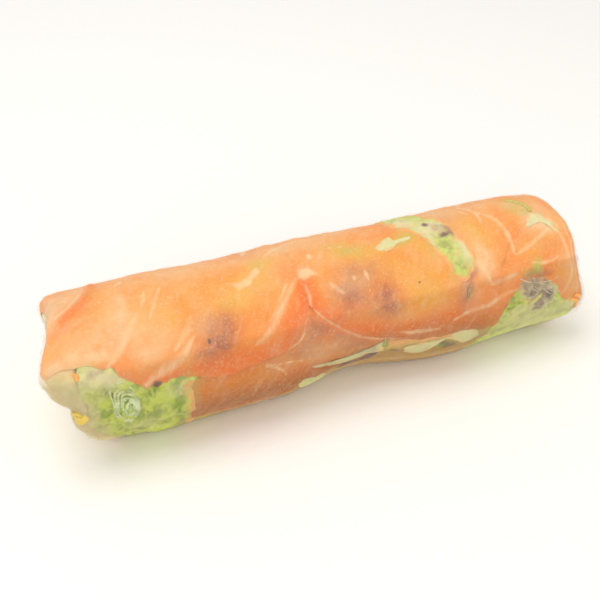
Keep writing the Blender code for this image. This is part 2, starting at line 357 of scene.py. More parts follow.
# ---- The green leaves ---------------------------------------------------------------------
# Torn leaves of soft green lettuce, laid flat under the paper and pressed by the winding. Each
# is a thin crinkled sheet; the ribs are thicker and nearly white.

SEAM, OVERLAP = -28.0, 60.0
FIRST_DEPTH = 0.5
DOUBLE_PAPER = 0.3
SLICE_THICKNESS = 1.3
LEAF_THICKNESS = 0.9
SHARP_RIM = 50.0
RIM_DROP = 0.28  # how little the rim of a sheet stands back, for the winding presses it flat
tops = []  # the places and depths that the paper is later draped over


def first_layer(angle):
    """How deep the outermost filling lies. It is a little deeper behind the double paper."""
    past_seam = turned(angle, SEAM)
    doubled = smooth_step(-4.0, 2.0, past_seam) * (
        1.0 - smooth_step(OVERLAP + 1.0, OVERLAP + 10.0, past_seam)
    )
    return FIRST_DEPTH + DOUBLE_PAPER * doubled


def soft_run(points, count):
    """Places spaced evenly along a soft curve through a few places (x, angle)."""
    given = np.array(points, float)
    given = np.vstack([2.0 * given[0] - given[1], given, 2.0 * given[-1] - given[-2]])
    t = np.linspace(0.0, 1.0, 9)[:-1, None]
    parts = [
        0.5 * (
            2.0 * b + (c - a) * t + (
                2.0 * a - 5.0 * b + 4.0 * c - d
            ) * t**2 + (3.0 * b - a - 3.0 * c + d) * t**3
        )
        for a, b, c, d in zip(given, given[1:], given[2:], given[3:])
    ]
    run = np.vstack(parts + [given[-2][None]])
    gone = np.concatenate([[0.0], np.cumsum(np.hypot(np.diff(run[:, 0]), np.diff(run[:, 1]) * DEGREE))])
    steps = np.linspace(0.0, gone[-1], count)
    return np.column_stack([np.interp(steps, gone, run[:, axis]) for axis in (0, 1)])


def run_length(points):
    """The length in mm of the soft curve through some places."""
    run = soft_run(points, 60)
    return np.hypot(np.diff(run[:, 0]), np.diff(run[:, 1]) * DEGREE).sum()


def ragged(run, amount, seed):
    """The run with small waves of about 2 to 7 mm torn into it. Its ends stay in place."""
    random = np.random.default_rng(seed)
    gone = np.linspace(0.0, np.hypot(np.diff(run[:, 0]), np.diff(run[:, 1]) * DEGREE).sum(), len(run))
    wave = sum(
        np.sin(2.0 * math.pi * gone / size + random.uniform(0.0, 6.3)) * size / 7.0
        for size in random.uniform(2.0, 7.0, 4)
    )
    wave = wave * amount * np.sin(np.linspace(0.0, math.pi, len(run))) ** 0.5
    along = np.gradient(run * (1.0, DEGREE), axis=0)
    along /= np.linalg.norm(along, axis=1, keepdims=True) + 1e-9
    return run + wave[:, None] * np.column_stack([-along[:, 1], along[:, 0] / DEGREE])


def distance_to(places, run):
    """The distance in mm over the roll from each place to a run of places, and how far along the
    run its nearest point is."""
    flat, run = places * (1.0, DEGREE), run * (1.0, DEGREE)
    best, where = np.full(len(flat), 1e3), np.zeros(len(flat))
    for number, (start, end) in enumerate(zip(run, run[1:])):
        along = end - start
        share = np.clip((flat - start) @ along / max(along @ along, 1e-9), 0.0, 1.0)
        gap = flat - start - share[:, None] * along
        distance = np.hypot(gap[:, 0], gap[:, 1])
        nearer = distance < best
        best = np.where(nearer, distance, best)
        where = np.where(nearer, (number + share) / (len(run) - 1), where)
    return best, where


def into_outline(x, angle, outline):
    """How many mm inside a closed outline of places a place lies. It is below 0 outside."""
    places = np.column_stack([np.ravel(x), np.ravel(angle)])
    closed = soft_run(list(outline) + [outline[0]], 60)
    distance, _ = distance_to(places, closed)
    crossings = np.zeros(len(places), int)
    for (x_1, angle_1), (x_2, angle_2) in zip(closed, closed[1:]):
        spans = (angle_1 > places[:, 1]) != (angle_2 > places[:, 1])
        meeting = x_1 + (places[:, 1] - angle_1) / (angle_2 - angle_1 + 1e-12) * (x_2 - x_1)
        crossings += spans & (places[:, 0] < meeting)
    return np.where(crossings % 2 == 1, distance, -distance).reshape(np.shape(x))


def nearness(places, lines):
    """Distance from each place to the nearest line, over that line's half width in mm. Each
    line is (half width, places), and thins out towards its ends."""
    best = np.full(len(places), 20.0)
    for half_width, points in lines:
        run = soft_run(points, max(4, int(run_length(points) / 1.2)))
        low, high = run.min(axis=0) - (8.0, 25.0), run.max(axis=0) + (8.0, 25.0)
        close = ((places > low) & (places < high)).all(axis=1)
        distance, where = distance_to(places[close], run)
        taper = 0.35 + 0.65 * np.sin(math.pi * where) ** 0.5
        best[close] = np.minimum(best[close], distance / (half_width * taper))
    return best


def patches(places, spots):
    """How strongly a place lies in any of some soft round spots (x, angle, reach along, reach
    round, strength)."""
    total = np.zeros(len(places))
    for x, angle, along, around, strength in spots:
        far = ((places[:, 0] - x) / along) ** 2 + (turned(places[:, 1], angle) / around) ** 2
        total = total + strength * np.exp(-far)
    return np.clip(total, 0.0, 1.0)


def write(piece, name, values):
    """Stores one number for each point of a piece, for its material to read."""
    attribute = piece.data.attributes.new(name, "FLOAT", "POINT")
    attribute.data.foreach_set("value", np.asarray(values, np.float32))


def write_places(piece, places):
    """Stores where each point lies, in mm along the roll and round it."""
    write(piece, "along", places[:, 0])
    write(piece, "round", places[:, 1] * DEGREE)


def read_places(tree):
    """The stored places as one vector, for a pattern that follows the roll."""
    along = add_node(tree, "ShaderNodeAttribute", attribute_name="along")
    around = add_node(tree, "ShaderNodeAttribute", attribute_name="round")
    return add_node(
        tree, "ShaderNodeCombineXYZ", {0: along.outputs["Fac"], 1: around.outputs["Fac"]}
    ).outputs[0]


def closed_sheet(outer, inner):
    """The points and faces of a sheet between two grids of points that meet along their rims."""
    columns, rows = outer.shape[:2]
    number = np.arange(columns * rows).reshape(columns, rows)
    within = np.zeros((columns, rows), bool)
    within[1:-1, 1:-1] = True
    below = number.copy()
    below[within] = columns * rows + np.arange(within.sum())
    points = np.vstack([outer.reshape(-1, outer.shape[-1]), inner[within]])
    return points, np.vstack([grid_faces(number), grid_faces(below)[:, ::-1]])


def add_sheet(
    name, material, node, edges, thickness, spacing, sunk=None, relief=None, rim=1.6, torn=0.25,
    seed=0,
):
    """A sheet under the paper, inside four edges: lower, right, upper and left. Each edge runs
    left to right or upwards. Its rim is feathered and lies flush with its neighbours.
    sunk(x, angle) is how many mm deeper it lies; relief(points) is how far its outside rises, in
    mm. Returns the piece and, for each of its points, the place and the distance from the rim."""
    lower, right, upper, left = edges
    columns = int(max(run_length(lower), run_length(upper)) / spacing) + 1
    rows = int(max(run_length(right), run_length(left)) / spacing) + 1
    lower, upper = (ragged(soft_run(edge, columns), torn, seed + 1) for edge in (lower, upper))
    left, right = (ragged(soft_run(edge, rows), torn, seed + 2) for edge in (left, right))
    u = np.linspace(0.0, 1.0, columns)[:, None, None]
    v = np.linspace(0.0, 1.0, rows)[None, :, None]
    across = (1.0 - v) * lower[:, None] + v * upper[:, None]
    along = (1.0 - u) * left[None] + u * right[None]
    lower_corners = (1.0 - u) * lower[0] + u * lower[-1]
    upper_corners = (1.0 - u) * upper[0] + u * upper[-1]
    places = across + along - ((1.0 - v) * lower_corners + v * upper_corners)
    x, angle = places[..., 0], places[..., 1]
    around = np.vstack([lower, right, upper[::-1], left[::-1]])
    inside = distance_to(places.reshape(-1, 2), np.vstack([around[::3], around[:1]]))[0].reshape(x.shape)
    inside[0], inside[-1], inside[:, 0], inside[:, -1] = 0.0, 0.0, 0.0, 0.0
    rounding = smooth_step(-0.3 * rim, rim, inside)
    depth = first_layer(angle)
    if sunk is not None:
        depth = depth + sunk(x, angle)
    raised = 0.0 if relief is None else relief(place(x, angle)) * rounding
    outer_depth = depth + RIM_DROP * (1.0 - rounding) - raised
    inner_depth = depth + RIM_DROP + (thickness - RIM_DROP) * rounding**0.5 - 0.5 * np.minimum(raised, 0.0)
    tops.append((x, angle, outer_depth))
    points, faces = closed_sheet(
        place(x, angle, outer_depth), place(x, angle, np.maximum(inner_depth, outer_depth))
    )
    facts = np.dstack([places, inside[..., None]])
    facts, _ = closed_sheet(facts, facts)
    piece = add_piece(name, points, faces.tolist(), material, node)
    piece.data.set_sharp_from_angle(angle=math.radians(SHARP_RIM))
    write_places(piece, facts[:, :2])
    return piece, facts[:, :2], facts[:, 2]


def tucked(over):
    """How far a sheet gives way, from 0 to 1, where it runs in under the rim of another sheet.
    over is how many mm past that rim a place is."""
    return smooth_step(-0.6, 2.4, over)


def crinkles(height, size, seed):
    """The relief of a crinkled leaf: bumps, and smaller bumps on them."""

    def relief(points):
        return height * (0.6 * uneven(points, size, seed) + 0.4 * uneven(points, size * 0.4, seed + 1))

    return relief


# The lower rim of the left slice of salmon and of the slices beside it, which lie over leaves.
LEFT_SLICE_LOWER = [
    (-76.6, 43), (-75.2, 39.5), (-73, 39), (-70.5, 41.5), (-66, 41), (-62, 37), (-60, 34), (-58.4, 27),
    (-57, 22), (-55.5, 18), (-54, 13), (-52.7, 16), (-47, 15.7), (-42.4, 14.3), (-39.7, 11.4), (-35.8, 8.6),
    (-33.6, 7), (-29.7, 9), (-21.9, 12.9), (-18, 14.3),
]
LEFT_SLICE_RIGHT = [
    (-18, 14.3), (-14.7, 17), (-12.4, 24), (-10.5, 31), (-9.1, 43), (-8.6, 60), (-8.8, 80), (-9.5, 110),
    (-10.5, 150), (-11.5, 196),
]
left_lower = soft_run(LEFT_SLICE_LOWER, 120)


def under_left_slice(x, angle):
    """How far a place gives way under the left slice, from 0 below its lower rim to 1."""
    return tucked((angle - np.interp(x, left_lower[:, 0], left_lower[:, 1])) * DEGREE)


# Fresh lettuce leaf: pale yellow green with a loose net of lighter veins, nearly white along the
# ribs, and purple where a leaf is frilled. Wet, so it has a low soft gloss.
leaf, tree, shader, coordinates = start_material("green lettuce leaf")
LEAF_GREEN = colour("#C3D652")
LEAF_DEEP = colour("#83A22C")
LEAF_VEIN = colour("#D6E070")
LEAF_RIB = colour("#E2DCAA")
# olive tan: partly seen through folded paper, partly painted shade low on the underside
LEAF_OLIVE_SHADE = colour("#BC9455")
LEAF_PURPLE = colour("#75595A")
LEAF_UNDER_FISH = colour("#F3AE66")
VEIN_SPACING = 4.5
patchy = add_node(
    tree, "ShaderNodeTexNoise",
    {"Vector": coordinates, "Scale": 1 / (4.0 * MM), "Detail": 5.0, "Roughness": 0.6},
)
deeper = add_node(
    tree, "ShaderNodeMapRange", {0: patchy.outputs["Fac"], 1: 0.43, 2: 0.64},
    interpolation_type="SMOOTHSTEP",
)
green = add_node(
    tree, "ShaderNodeMix", {0: deeper.outputs[0], 6: LEAF_GREEN, 7: LEAF_DEEP}, data_type="RGBA"
)
warp = add_node(tree, "ShaderNodeTexNoise", {"Vector": coordinates, "Scale": 1 / (2.5 * MM), "Detail": 4.0})
bent = add_node(
    tree, "ShaderNodeVectorMath", {0: warp.outputs["Color"], 1: (4.0 * MM,) * 3, 2: coordinates},
    operation="MULTIPLY_ADD"
)
net = add_node(
    tree, "ShaderNodeTexVoronoi", {"Vector": bent.outputs[0], "Scale": 1 / (VEIN_SPACING * MM)},
    feature="DISTANCE_TO_EDGE"
)
vein = add_node(
    tree, "ShaderNodeMapRange", {0: net.outputs["Distance"], 1: 0.0, 2: 0.10, 3: 0.55, 4: 0.0},
    interpolation_type="SMOOTHSTEP"
)
marks = {
    name: add_node(tree, "ShaderNodeAttribute", attribute_name=name).outputs["Fac"]
    for name in ("rib", "olive_shade", "purple", "covered")
}
broken = add_node(
    tree, "ShaderNodeMath", {0: patchy.outputs["Fac"], 1: 0.8, 2: marks["purple"]}, operation="MULTIPLY_ADD"
)
stain = add_node(
    tree, "ShaderNodeMapRange", {0: broken.outputs[0], 1: 0.6, 2: 1.2}, interpolation_type="SMOOTHSTEP"
)
frayed = add_node(
    tree, "ShaderNodeMath", {0: warp.outputs["Fac"], 1: 1.4, 2: marks["covered"]}, operation="MULTIPLY_ADD"
)
veil = add_node(
    tree, "ShaderNodeMapRange", {0: frayed.outputs[0], 1: 0.85, 2: 1.7}, interpolation_type="SMOOTHSTEP"
)
leaf_colour = green.outputs[2]
for strength, tint in (
    (vein.outputs[0], LEAF_VEIN),
    (marks["rib"], LEAF_RIB),
    (marks["olive_shade"], LEAF_OLIVE_SHADE),
    (stain.outputs[0], LEAF_PURPLE),
    (veil.outputs[0], LEAF_UNDER_FISH),
):
    layer = add_node(tree, "ShaderNodeMix", {0: strength, 6: leaf_colour, 7: tint}, data_type="RGBA")
    leaf_colour = layer.outputs[2]
raised_net = add_node(
    tree, "ShaderNodeBump", {"Strength": 0.4, "Distance": 0.2 * MM, "Height": patchy.outputs["Fac"]}
)
set_inputs(tree, shader, {
    "Base Color": leaf_colour, "Normal": raised_net.outputs[0], "Roughness": 0.36,
    "Specular IOR Level": 0.25, "IOR": 1.25, "Subsurface Weight": 0.15,
    "Subsurface Radius": (0.7, 1.0, 0.3), "Subsurface Scale": 0.6 * MM,
})


def finish_leaf(piece, places, ribs=(), purples=(), olive_shades=(), covered=0.0):
    """Writes where a leaf has ribs and purple, where it looks olive, partly through folded paper and partly
    as painted shade low on the underside, and how far thin salmon covers it."""
    write(piece, "rib", patches(places, ribs))
    write(piece, "purple", patches(places, purples))
    write(piece, "olive_shade", patches(places, olive_shades))
    write(piece, "covered", covered + np.zeros(len(places)))


UNDER_SLICE_LOWER = [(-43.5, -33), (-20, -36), (0, -22), (11, -9), (20, -7.5), (34, -8), (42, -15)]


def inside_run(x, angle, points):
    """How many mm above a run of places a place lies. It is below 0 under the run."""
    run = soft_run(points, 90)
    distance = distance_to(np.column_stack([np.ravel(x), np.ravel(angle)]), run)[0].reshape(np.shape(x))
    return np.where(angle > np.interp(x, run[:, 0], run[:, 1]), distance, -distance)


def under_leaf_sunk(x, angle):
    """The leaf below gives way to the slices along the front and back, and to the leaves that
    lie over it near both ends."""
    under_slices = tucked(inside_run(x, angle, UNDER_SLICE_LOWER))
    front = under_slices * smooth_step(-44.5, -42.0, x) * smooth_step(44.0, 41.0, x)
    back = tucked((-158.0 - angle) * DEGREE)
    left = tucked(-42.0 - x) * tucked((angle + 52.0) * DEGREE)
    right = tucked(x - 44.0) * tucked((angle + 46.0) * DEGREE)
    return SLICE_THICKNESS * np.maximum(front, back) + LEAF_THICKNESS * np.maximum(left, right)


leaf_under, places, _ = add_sheet(
    "lettuce_leaf_under", leaf, "lettuce_leaf_under",
    (
        [(-68, -170), (0, -172), (68, -170)],
        [(68, -170), (69, -110), (68, -60), (64, -34)],
        [
            (-64, -38), (-46, -42), (-40, -26), (-20, -26), (-6, -14), (6, -3), (20, -3), (34, -4),
            (45, -12), (64, -34),
        ],
        [(-68, -170), (-69, -110), (-67, -60), (-64, -38)],
    ),
    LEAF_THICKNESS, 0.75, relief=crinkles(0.15, 9.0, 21), seed=20, sunk=under_leaf_sunk,
)
finish_leaf(
    leaf_under, places,
    ribs=[
        (20, -70, 30, 20, 0.6), (-20, -120, 20, 25, 0.7), (50, -110, 9, 40, 0.5), (-58, -120, 6, 40, 0.5)
    ],
    purples=[
        (22, -110, 9, 14, 0.5), (-30, -70, 5, 10, 0.3), (-48, -140, 8, 12, 0.4), (58, -80, 5, 16, 0.3)
    ],
    olive_shades=[(0, -34, 40, 26, 1.0), (30, -24, 22, 16, 0.9), (20, -60, 40, 30, 0.5), (-30, -45, 14, 30, 0.6)],
    covered=patches(places, [(12, -4, 14, 7, 1.0), (28, -4, 10, 6, 1.0)]),
)

COIL_X, COIL_ANGLE = -60.3, 5.5


def left_leaf_sunk(x, angle):
    """The left leaf runs in under the left slice, and is hollowed a little for the coil of
    noodles that lies in it."""
    from_coil = np.hypot(x - COIL_X, (angle - COIL_ANGLE) * DEGREE)
    return SLICE_THICKNESS * np.maximum(0.25 * smooth_step(6.5, 4.5, from_coil), under_left_slice(x, angle))


leaf_left, places, _ = add_sheet(
    "lettuce_leaf_left", leaf, "lettuce_leaf_left",
    (
        [(-63, -44), (-55, -50), (-41, -56)],
        [(-41, -56), (-42.5, -30), (-42, 0), (-40, 22)],
        [(-66.4, 48), (-62, 45), (-56, 32), (-50, 25), (-40, 22)],
        [(-63, -44), (-69, -26), (-71, -10), (-71, 3), (-69.6, 15), (-68, 27), (-67.2, 38), (-66.4, 48)],
    ),
    LEAF_THICKNESS, 0.45, relief=crinkles(0.45, 4.5, 31), seed=30, torn=0.12, sunk=left_leaf_sunk,
)
finish_leaf(
    leaf_left, places,
    ribs=[
        (-45, 9, 4, 6, 0.5), (-64, 33, 5, 11, 1.0), (-60, 26, 3, 5, 0.6), (-69.4, 10, 1.8, 22, 0.5),
        (-57, -20, 6, 8, 0.3),
    ],
    purples=[(-63.4, 33, 4, 6, 0.42), (-47, 12, 2, 3, 0.2)],
    olive_shades=[(-44, -40, 6, 10, 0.5)],
    covered=0.85 * smooth_step(-47.0, -42.5, places[:, 0]) * smooth_step(16.0, 8.0, places[:, 1]),
)

FRILL_OUTLINE = [
    (54.2, 2), (55, -5), (56, -11), (57.8, -16), (59.4, -12), (62.4, -6), (64, 2), (64.2, 12), (62.6, 19),
    (60, 24), (57, 27), (53.2, 26), (51, 19), (52.2, 10),
]
RIGHT_SLICE_LOWER = [
    (33, -8), (38, -10), (42, -15), (45, -15), (46.8, -4), (48.4, 6), (50, 12), (51.6, 17), (53.6, 22),
    (57, 23.5), (60, 20), (62.2, 15), (63.4, 9), (64, 3), (65, -4), (66.4, -9.5), (67.6, -6.5), (69, -11),
    (70.4, -12), (71.4, -16), (73, -16),
]


def right_leaf_sunk(x, angle):
    """The right leaf runs in under the right slice and under the red frill."""
    under_slice = tucked(inside_run(x, angle, RIGHT_SLICE_LOWER))
    under_frill = 0.8 * tucked(into_outline(x, angle, FRILL_OUTLINE))
    return SLICE_THICKNESS * np.maximum(under_slice, under_frill)


leaf_right, places, _ = add_sheet(
    "lettuce_leaf_right", leaf, "lettuce_leaf_right",
    (
        [(37, -46), (56, -48), (72, -42)],
        [(72, -42), (75, -20), (73, 0), (71, 16), (67, 32)],
        [(44.5, 10), (49, 22), (54, 33), (67, 32)],
        [(37, -46), (38.6, -28), (42, -18), (44, -8), (44.5, 10)],
    ),
    LEAF_THICKNESS, 0.5, relief=crinkles(0.18, 7.0, 41), seed=40, sunk=right_leaf_sunk,
)
finish_leaf(
    leaf_right, places,
    ribs=[(58, -18, 14, 12, 0.6), (52, -2, 6, 8, 0.45), (70, -8, 4, 14, 0.8), (60, -34, 12, 8, 0.5)],
)

BAND_THICKNESS = 0.7
leaf_band, places, inside = add_sheet(
    "lettuce_leaf_band", leaf, "lettuce_leaf_band",
    (
        [(33.6, 35.5), (35.5, 33.5), (38, 36)],
        [
            (38, 36), (40.4, 44), (40.6, 52), (40.4, 60), (39, 70), (38.4, 82), (36.4, 98), (33.6, 112),
            (33.5, 150), (33.5, 206),
        ],
        [(19, 206), (26, 208), (33.5, 206)],
        [
            (33.6, 35.5), (31.7, 44), (31.2, 53), (29.8, 61), (28.6, 70), (27, 80), (24.6, 92), (22.4, 104),
            (21.6, 114), (20, 150), (19, 206),
        ],
    ),
    BAND_THICKNESS, 0.42, relief=crinkles(0.3, 4.0, 51), seed=50, rim=0.8, torn=0.35,
)
finish_leaf(
    leaf_band, places,
    ribs=[
        (26, 102, 5, 14, 1.0), (34, 88, 3.4, 10, 1.0), (40.6, 54, 3.4, 12, 1.0), (39, 70, 2.4, 12, 0.9),
        (28, 150, 4, 22, 0.7), (30, 72, 1.2, 9, 0.6), (29, 84, 3, 8, 0.6), (34, 56, 5, 22, 0.3),
    ],
    purples=[
        (31.3, 93, 1.1, 2.4, 0.7), (34.6, 77, 1.4, 2.4, 0.8), (37, 80, 1.2, 8, 0.5), (33.4, 74, 3, 3, 0.35),
        (34, 88, 3.4, 9, 0.42), (38.5, 70, 2, 8, 0.3),
    ],
    covered=np.maximum(np.exp(-((inside / 1.8) ** 2)), 0.25),
)

# ---- The red lettuce ----------------------------------------------------------------------
# A frilled end of red lettuce near the right end, pressed into tight ruffles. Its colour follows the
# ruffles' height: pale grey lavender on the ridges and purple in the hollows, partly its own colour and
# partly painted light and shade, with a few dark purple spots.

red_leaf, tree, shader, coordinates = start_material("red lettuce frill")
FRILL_PALE = colour("#CBBE9A")
FRILL_PURPLE = colour("#917C66")
FRILL_DARK = colour("#5E4440")
FRILL_VEIL = colour("#CC9E70")
FRILL_LEAF = colour("#CBCB8A")
marks = {
    name: add_node(tree, "ShaderNodeAttribute", attribute_name=name).outputs["Fac"]
    for name in ("ridge", "dark", "covered", "low")
}
fine = add_node(tree, "ShaderNodeTexNoise", {"Vector": coordinates, "Scale": 1 / (0.9 * MM), "Detail": 4.0})
level = add_node(
    tree, "ShaderNodeMath", {0: fine.outputs["Fac"], 1: 1.0, 2: marks["ridge"]}, operation="MULTIPLY_ADD"
)
ridge = add_node(
    tree, "ShaderNodeMapRange", {0: level.outputs[0], 1: 0.1, 2: 1.1}, interpolation_type="SMOOTHSTEP"
)
frayed = add_node(
    tree, "ShaderNodeMath", {0: fine.outputs["Fac"], 1: 1.4, 2: marks["covered"]}, operation="MULTIPLY_ADD"
)
veil = add_node(
    tree, "ShaderNodeMapRange", {0: frayed.outputs[0], 1: 0.85, 2: 1.7}, interpolation_type="SMOOTHSTEP"
)
neighbour = add_node(
    tree, "ShaderNodeMix", {0: marks["low"], 6: FRILL_VEIL, 7: FRILL_LEAF}, data_type="RGBA"
)
frill_colour = FRILL_PURPLE
for strength, tint in (
    (ridge.outputs[0], FRILL_PALE),
    (marks["dark"], FRILL_DARK),
    (veil.outputs[0], neighbour.outputs[2]),
):
    layer = add_node(tree, "ShaderNodeMix", {0: strength, 6: frill_colour, 7: tint}, data_type="RGBA")
    frill_colour = layer.outputs[2]
set_inputs(tree, shader, {
    "Base Color": frill_colour, "Roughness": 0.36, "Subsurface Weight": 0.1, "Subsurface Scale": 0.5 * MM,
})


def frill_relief(points):
    """Tight ruffles that wander a little, with finer crinkles between them."""
    ruffle = np.sin(points[..., 0] / (0.42 * MM) + 4.0 * uneven(points, 5.0, 61))
    return 0.05 * ruffle + 0.11 * uneven(points, 2.0, 62)


def frill_sunk(x, angle):
    """The top of the frill runs in under the right slice."""
    under_slice = 0.2 * tucked(inside_run(x, angle, RIGHT_SLICE_LOWER))
    return under_slice + 0.9 * smooth_step(20.0, 27.0, angle)


FRILL_THICKNESS = 0.7
frill, places, inside = add_sheet(
    "red_lettuce_frill", red_leaf, "red_lettuce_frill",
    (
        FRILL_OUTLINE[:6], FRILL_OUTLINE[5:9], FRILL_OUTLINE[12:7:-1],
        FRILL_OUTLINE[:1] + FRILL_OUTLINE[:11:-1],
    ),
    FRILL_THICKNESS, 0.3, relief=frill_relief, seed=60, torn=0.35, rim=1.2, sunk=frill_sunk,
)
# painted light and shade: the ruffles' height makes the ridges paler and the hollows darker
write(frill, "ridge", 3.0 * frill_relief(place(places[:, 0], places[:, 1])))
write(frill, "covered", 1.2 * np.exp(-((inside / 1.7) ** 2)))
write(frill, "low", smooth_step(20.0, 10.0, places[:, 1]))
write(
    frill, "dark",
    patches(
        places,
        [
            (55.2, 9, 1.2, 2.4, 0.9), (60.8, 4.5, 1.3, 3, 1.0), (56, -4, 1.5, 5, 0.7),
            (57.6, -11, 1.5, 5, 0.8), (61.8, 0, 1.8, 3, 0.5), (58.6, 8, 1.2, 3, 0.4), (57, 14, 2, 2.4, 0.3),
        ],
    ),
)

# ---- The noodle coil and loose strands ----------------------------------------------------
# Clear noodles that slipped out of the bundle: a tight coil of them lies against the paper in
# the left leaf, and a few cross the red frill.


COIL_LOOPS, LOOP_POINTS = 26, 44
RINGS = 7


def coil_runs():
    """Loose loops nested in one another, each a part of a turn."""
    random = np.random.default_rng(7)
    runs = []
    for number in range(COIL_LOOPS):
        turn = np.linspace(0.0, random.uniform(1.6, 4.6), LOOP_POINTS) + random.uniform(0.0, 6.3)
        ring = 0.7 + 0.78 * (number % RINGS) + random.uniform(-0.12, 0.12)
        size = ring + 0.3 * np.sin(turn * 1.7 + number)
        drift = 0.12 * (RINGS - number % RINGS)
        x = COIL_X + drift + random.uniform(-0.3, 0.3) + size * np.cos(turn) * 0.66
        angle = COIL_ANGLE - 3.0 * drift + random.uniform(-1.0, 1.0) + size * np.sin(turn) / DEGREE * 1.12
        runs.append(place(x, angle, 0.8 + 0.04 * size + 0.18 * np.sin(turn * 2.0 + number)))
    return runs


# Clear noodle: a single strand against leaf is see-through, so it takes the leaf's green.
clear_noodle, tree, shader, coordinates = start_material("clear rice noodle")
CLEAR_DARK = colour("#B2C880")
CLEAR_LIGHT = colour("#DCE4B4")
streaky = add_node(
    tree, "ShaderNodeTexNoise", {"Vector": coordinates, "Scale": 1 / (1.6 * MM), "Detail": 2.0}
)
streak = add_node(
    tree, "ShaderNodeMapRange", {0: streaky.outputs["Fac"], 1: 0.38, 2: 0.62},
    interpolation_type="SMOOTHSTEP",
)
clear_colour = add_node(
    tree, "ShaderNodeMix", {0: streak.outputs[0], 6: CLEAR_DARK, 7: CLEAR_LIGHT}, data_type="RGBA"
)
set_inputs(tree, shader, {
    "Base Color": clear_colour.outputs[2], "Roughness": 0.22, "Subsurface Weight": 0.3,
    "Subsurface Scale": 0.5 * MM,
})

add_strands("noodle_coil", coil_runs(), 0.62, 7, clear_noodle, "noodle_coil", seed=5.0)
coil_grid = np.meshgrid(np.arange(-68.0, -55.0, 0.4), np.arange(-14.0, 26.0, 1.0))
far = np.hypot((coil_grid[0] - COIL_X) / 4.6, (coil_grid[1] - COIL_ANGLE) / 16.0)
tops.append((coil_grid[0], coil_grid[1], np.where(far < 1.0, 0.8, 3.0)))


def laid_runs(curves, count, depth):
    """Runs of count points along some soft curves of places, a little under the paper."""
    runs = [soft_run(places, count) for places in curves]
    return [place(run[:, 0], run[:, 1], first_layer(run[:, 1]) + depth) for run in runs]


arcs = [
    [(52.4, 25), (55, 20.5), (58, 18), (62, 17), (65, 19)],
    [(56.5, 14), (58, 8), (60.5, 1), (62, -6)],
    [(58.2, 15), (60.4, 8), (62.4, 1), (63.6, -5)],
    [(57.8, 9), (58.8, 3), (60.2, -4), (60.8, -11)],
    [(54.8, 16), (57, 11.5), (60, 11), (63, 5)],
    [(55.4, 12), (54.6, 8.5), (56.2, 6.5), (57.6, 9.5), (56.4, 13)],
    [(59.8, 14), (62, 9), (64.6, 4)],
]
add_strands(
    "loose_noodles", laid_runs(arcs, 40, 0.12), 0.24, 6, noodle, "red_lettuce_frill",
    seed=8.0,
)

# ---- The smoked salmon --------------------------------------------------------------------
# Thin slices of cold-smoked salmon, cut across the grain and laid side by side over the front,
# top and back, with one more under them at the front. Lines of pale fat cross each slice.

# Smoked salmon: translucent orange flesh, paler and peachy where it is thick, deep orange at the thin
# edges, with soft cream lines of fat. What lies behind shows through it. Light and shade are painted on it
# too: a milky sheen along the top, fine glints, and a deeper orange and brown low on the front.
salmon, tree, shader, coordinates = start_material("smoked salmon")
SALMON_PALE = colour("#F2AA60")
SALMON_FLESH = colour("#F4943E")
SALMON_DEEP = colour("#F07A30")
SALMON_FAT = colour("#F8D8AE")
SALMON_YELLOW = colour("#E6B44C")
SALMON_PURPLE = colour("#B26A54")
# brown for what lies over the salmon, and painted shade low on the front
SALMON_BROWN_SHADE = colour("#B26016")
SALMON_HAZE_AND_SHEEN = colour("#F1C594")
SALMON_GREEN = colour("#BDBB58")
CLOUD_SIZE, MOTTLE_SIZE, GRAIN_SIZE = 11.0, 3.2, 0.9
GLINT_SIZE = 0.55  # painted glints of light on the flesh, drawn as coarse as they need to be to show
BEAD_SPACING = 2.2  # tiny beads of fat
on_roll = read_places(tree)
marks = {
    name: add_node(tree, "ShaderNodeAttribute", attribute_name=name).outputs["Fac"]
    for name in ("rich", "yellow", "purple", "green", "brown_and_shade", "haze", "fat", "cream")
}
noises = {
    name: add_node(
        tree, "ShaderNodeTexNoise",
        {"Vector": coordinates, "Scale": 1 / (size * MM), "Detail": detail, "Roughness": roughness},
    ).outputs["Fac"]
    for name, size, detail, roughness in (
        ("cloud", CLOUD_SIZE, 5.0, 0.62),
        ("mottle", MOTTLE_SIZE, 5.0, 0.65),
        ("grain", GRAIN_SIZE, 3.0, 0.7),
        ("sparkle", GLINT_SIZE, 2.0, 0.5),
    )
}
beads = add_node(tree, "ShaderNodeTexVoronoi", {"Vector": coordinates, "Scale": 1 / (BEAD_SPACING * MM)})
lengthened = add_node(
    tree, "ShaderNodeMapping", {"Vector": on_roll, "Rotation": (0.0, 0.0, -0.5), "Scale": (1.0, 3.2, 1.0)},
    vector_type="TEXTURE",
)
fibres = add_node(
    tree, "ShaderNodeTexNoise",
    {"Vector": lengthened.outputs[0], "Scale": 0.55, "Detail": 4.0, "Roughness": 0.55},
).outputs["Fac"]
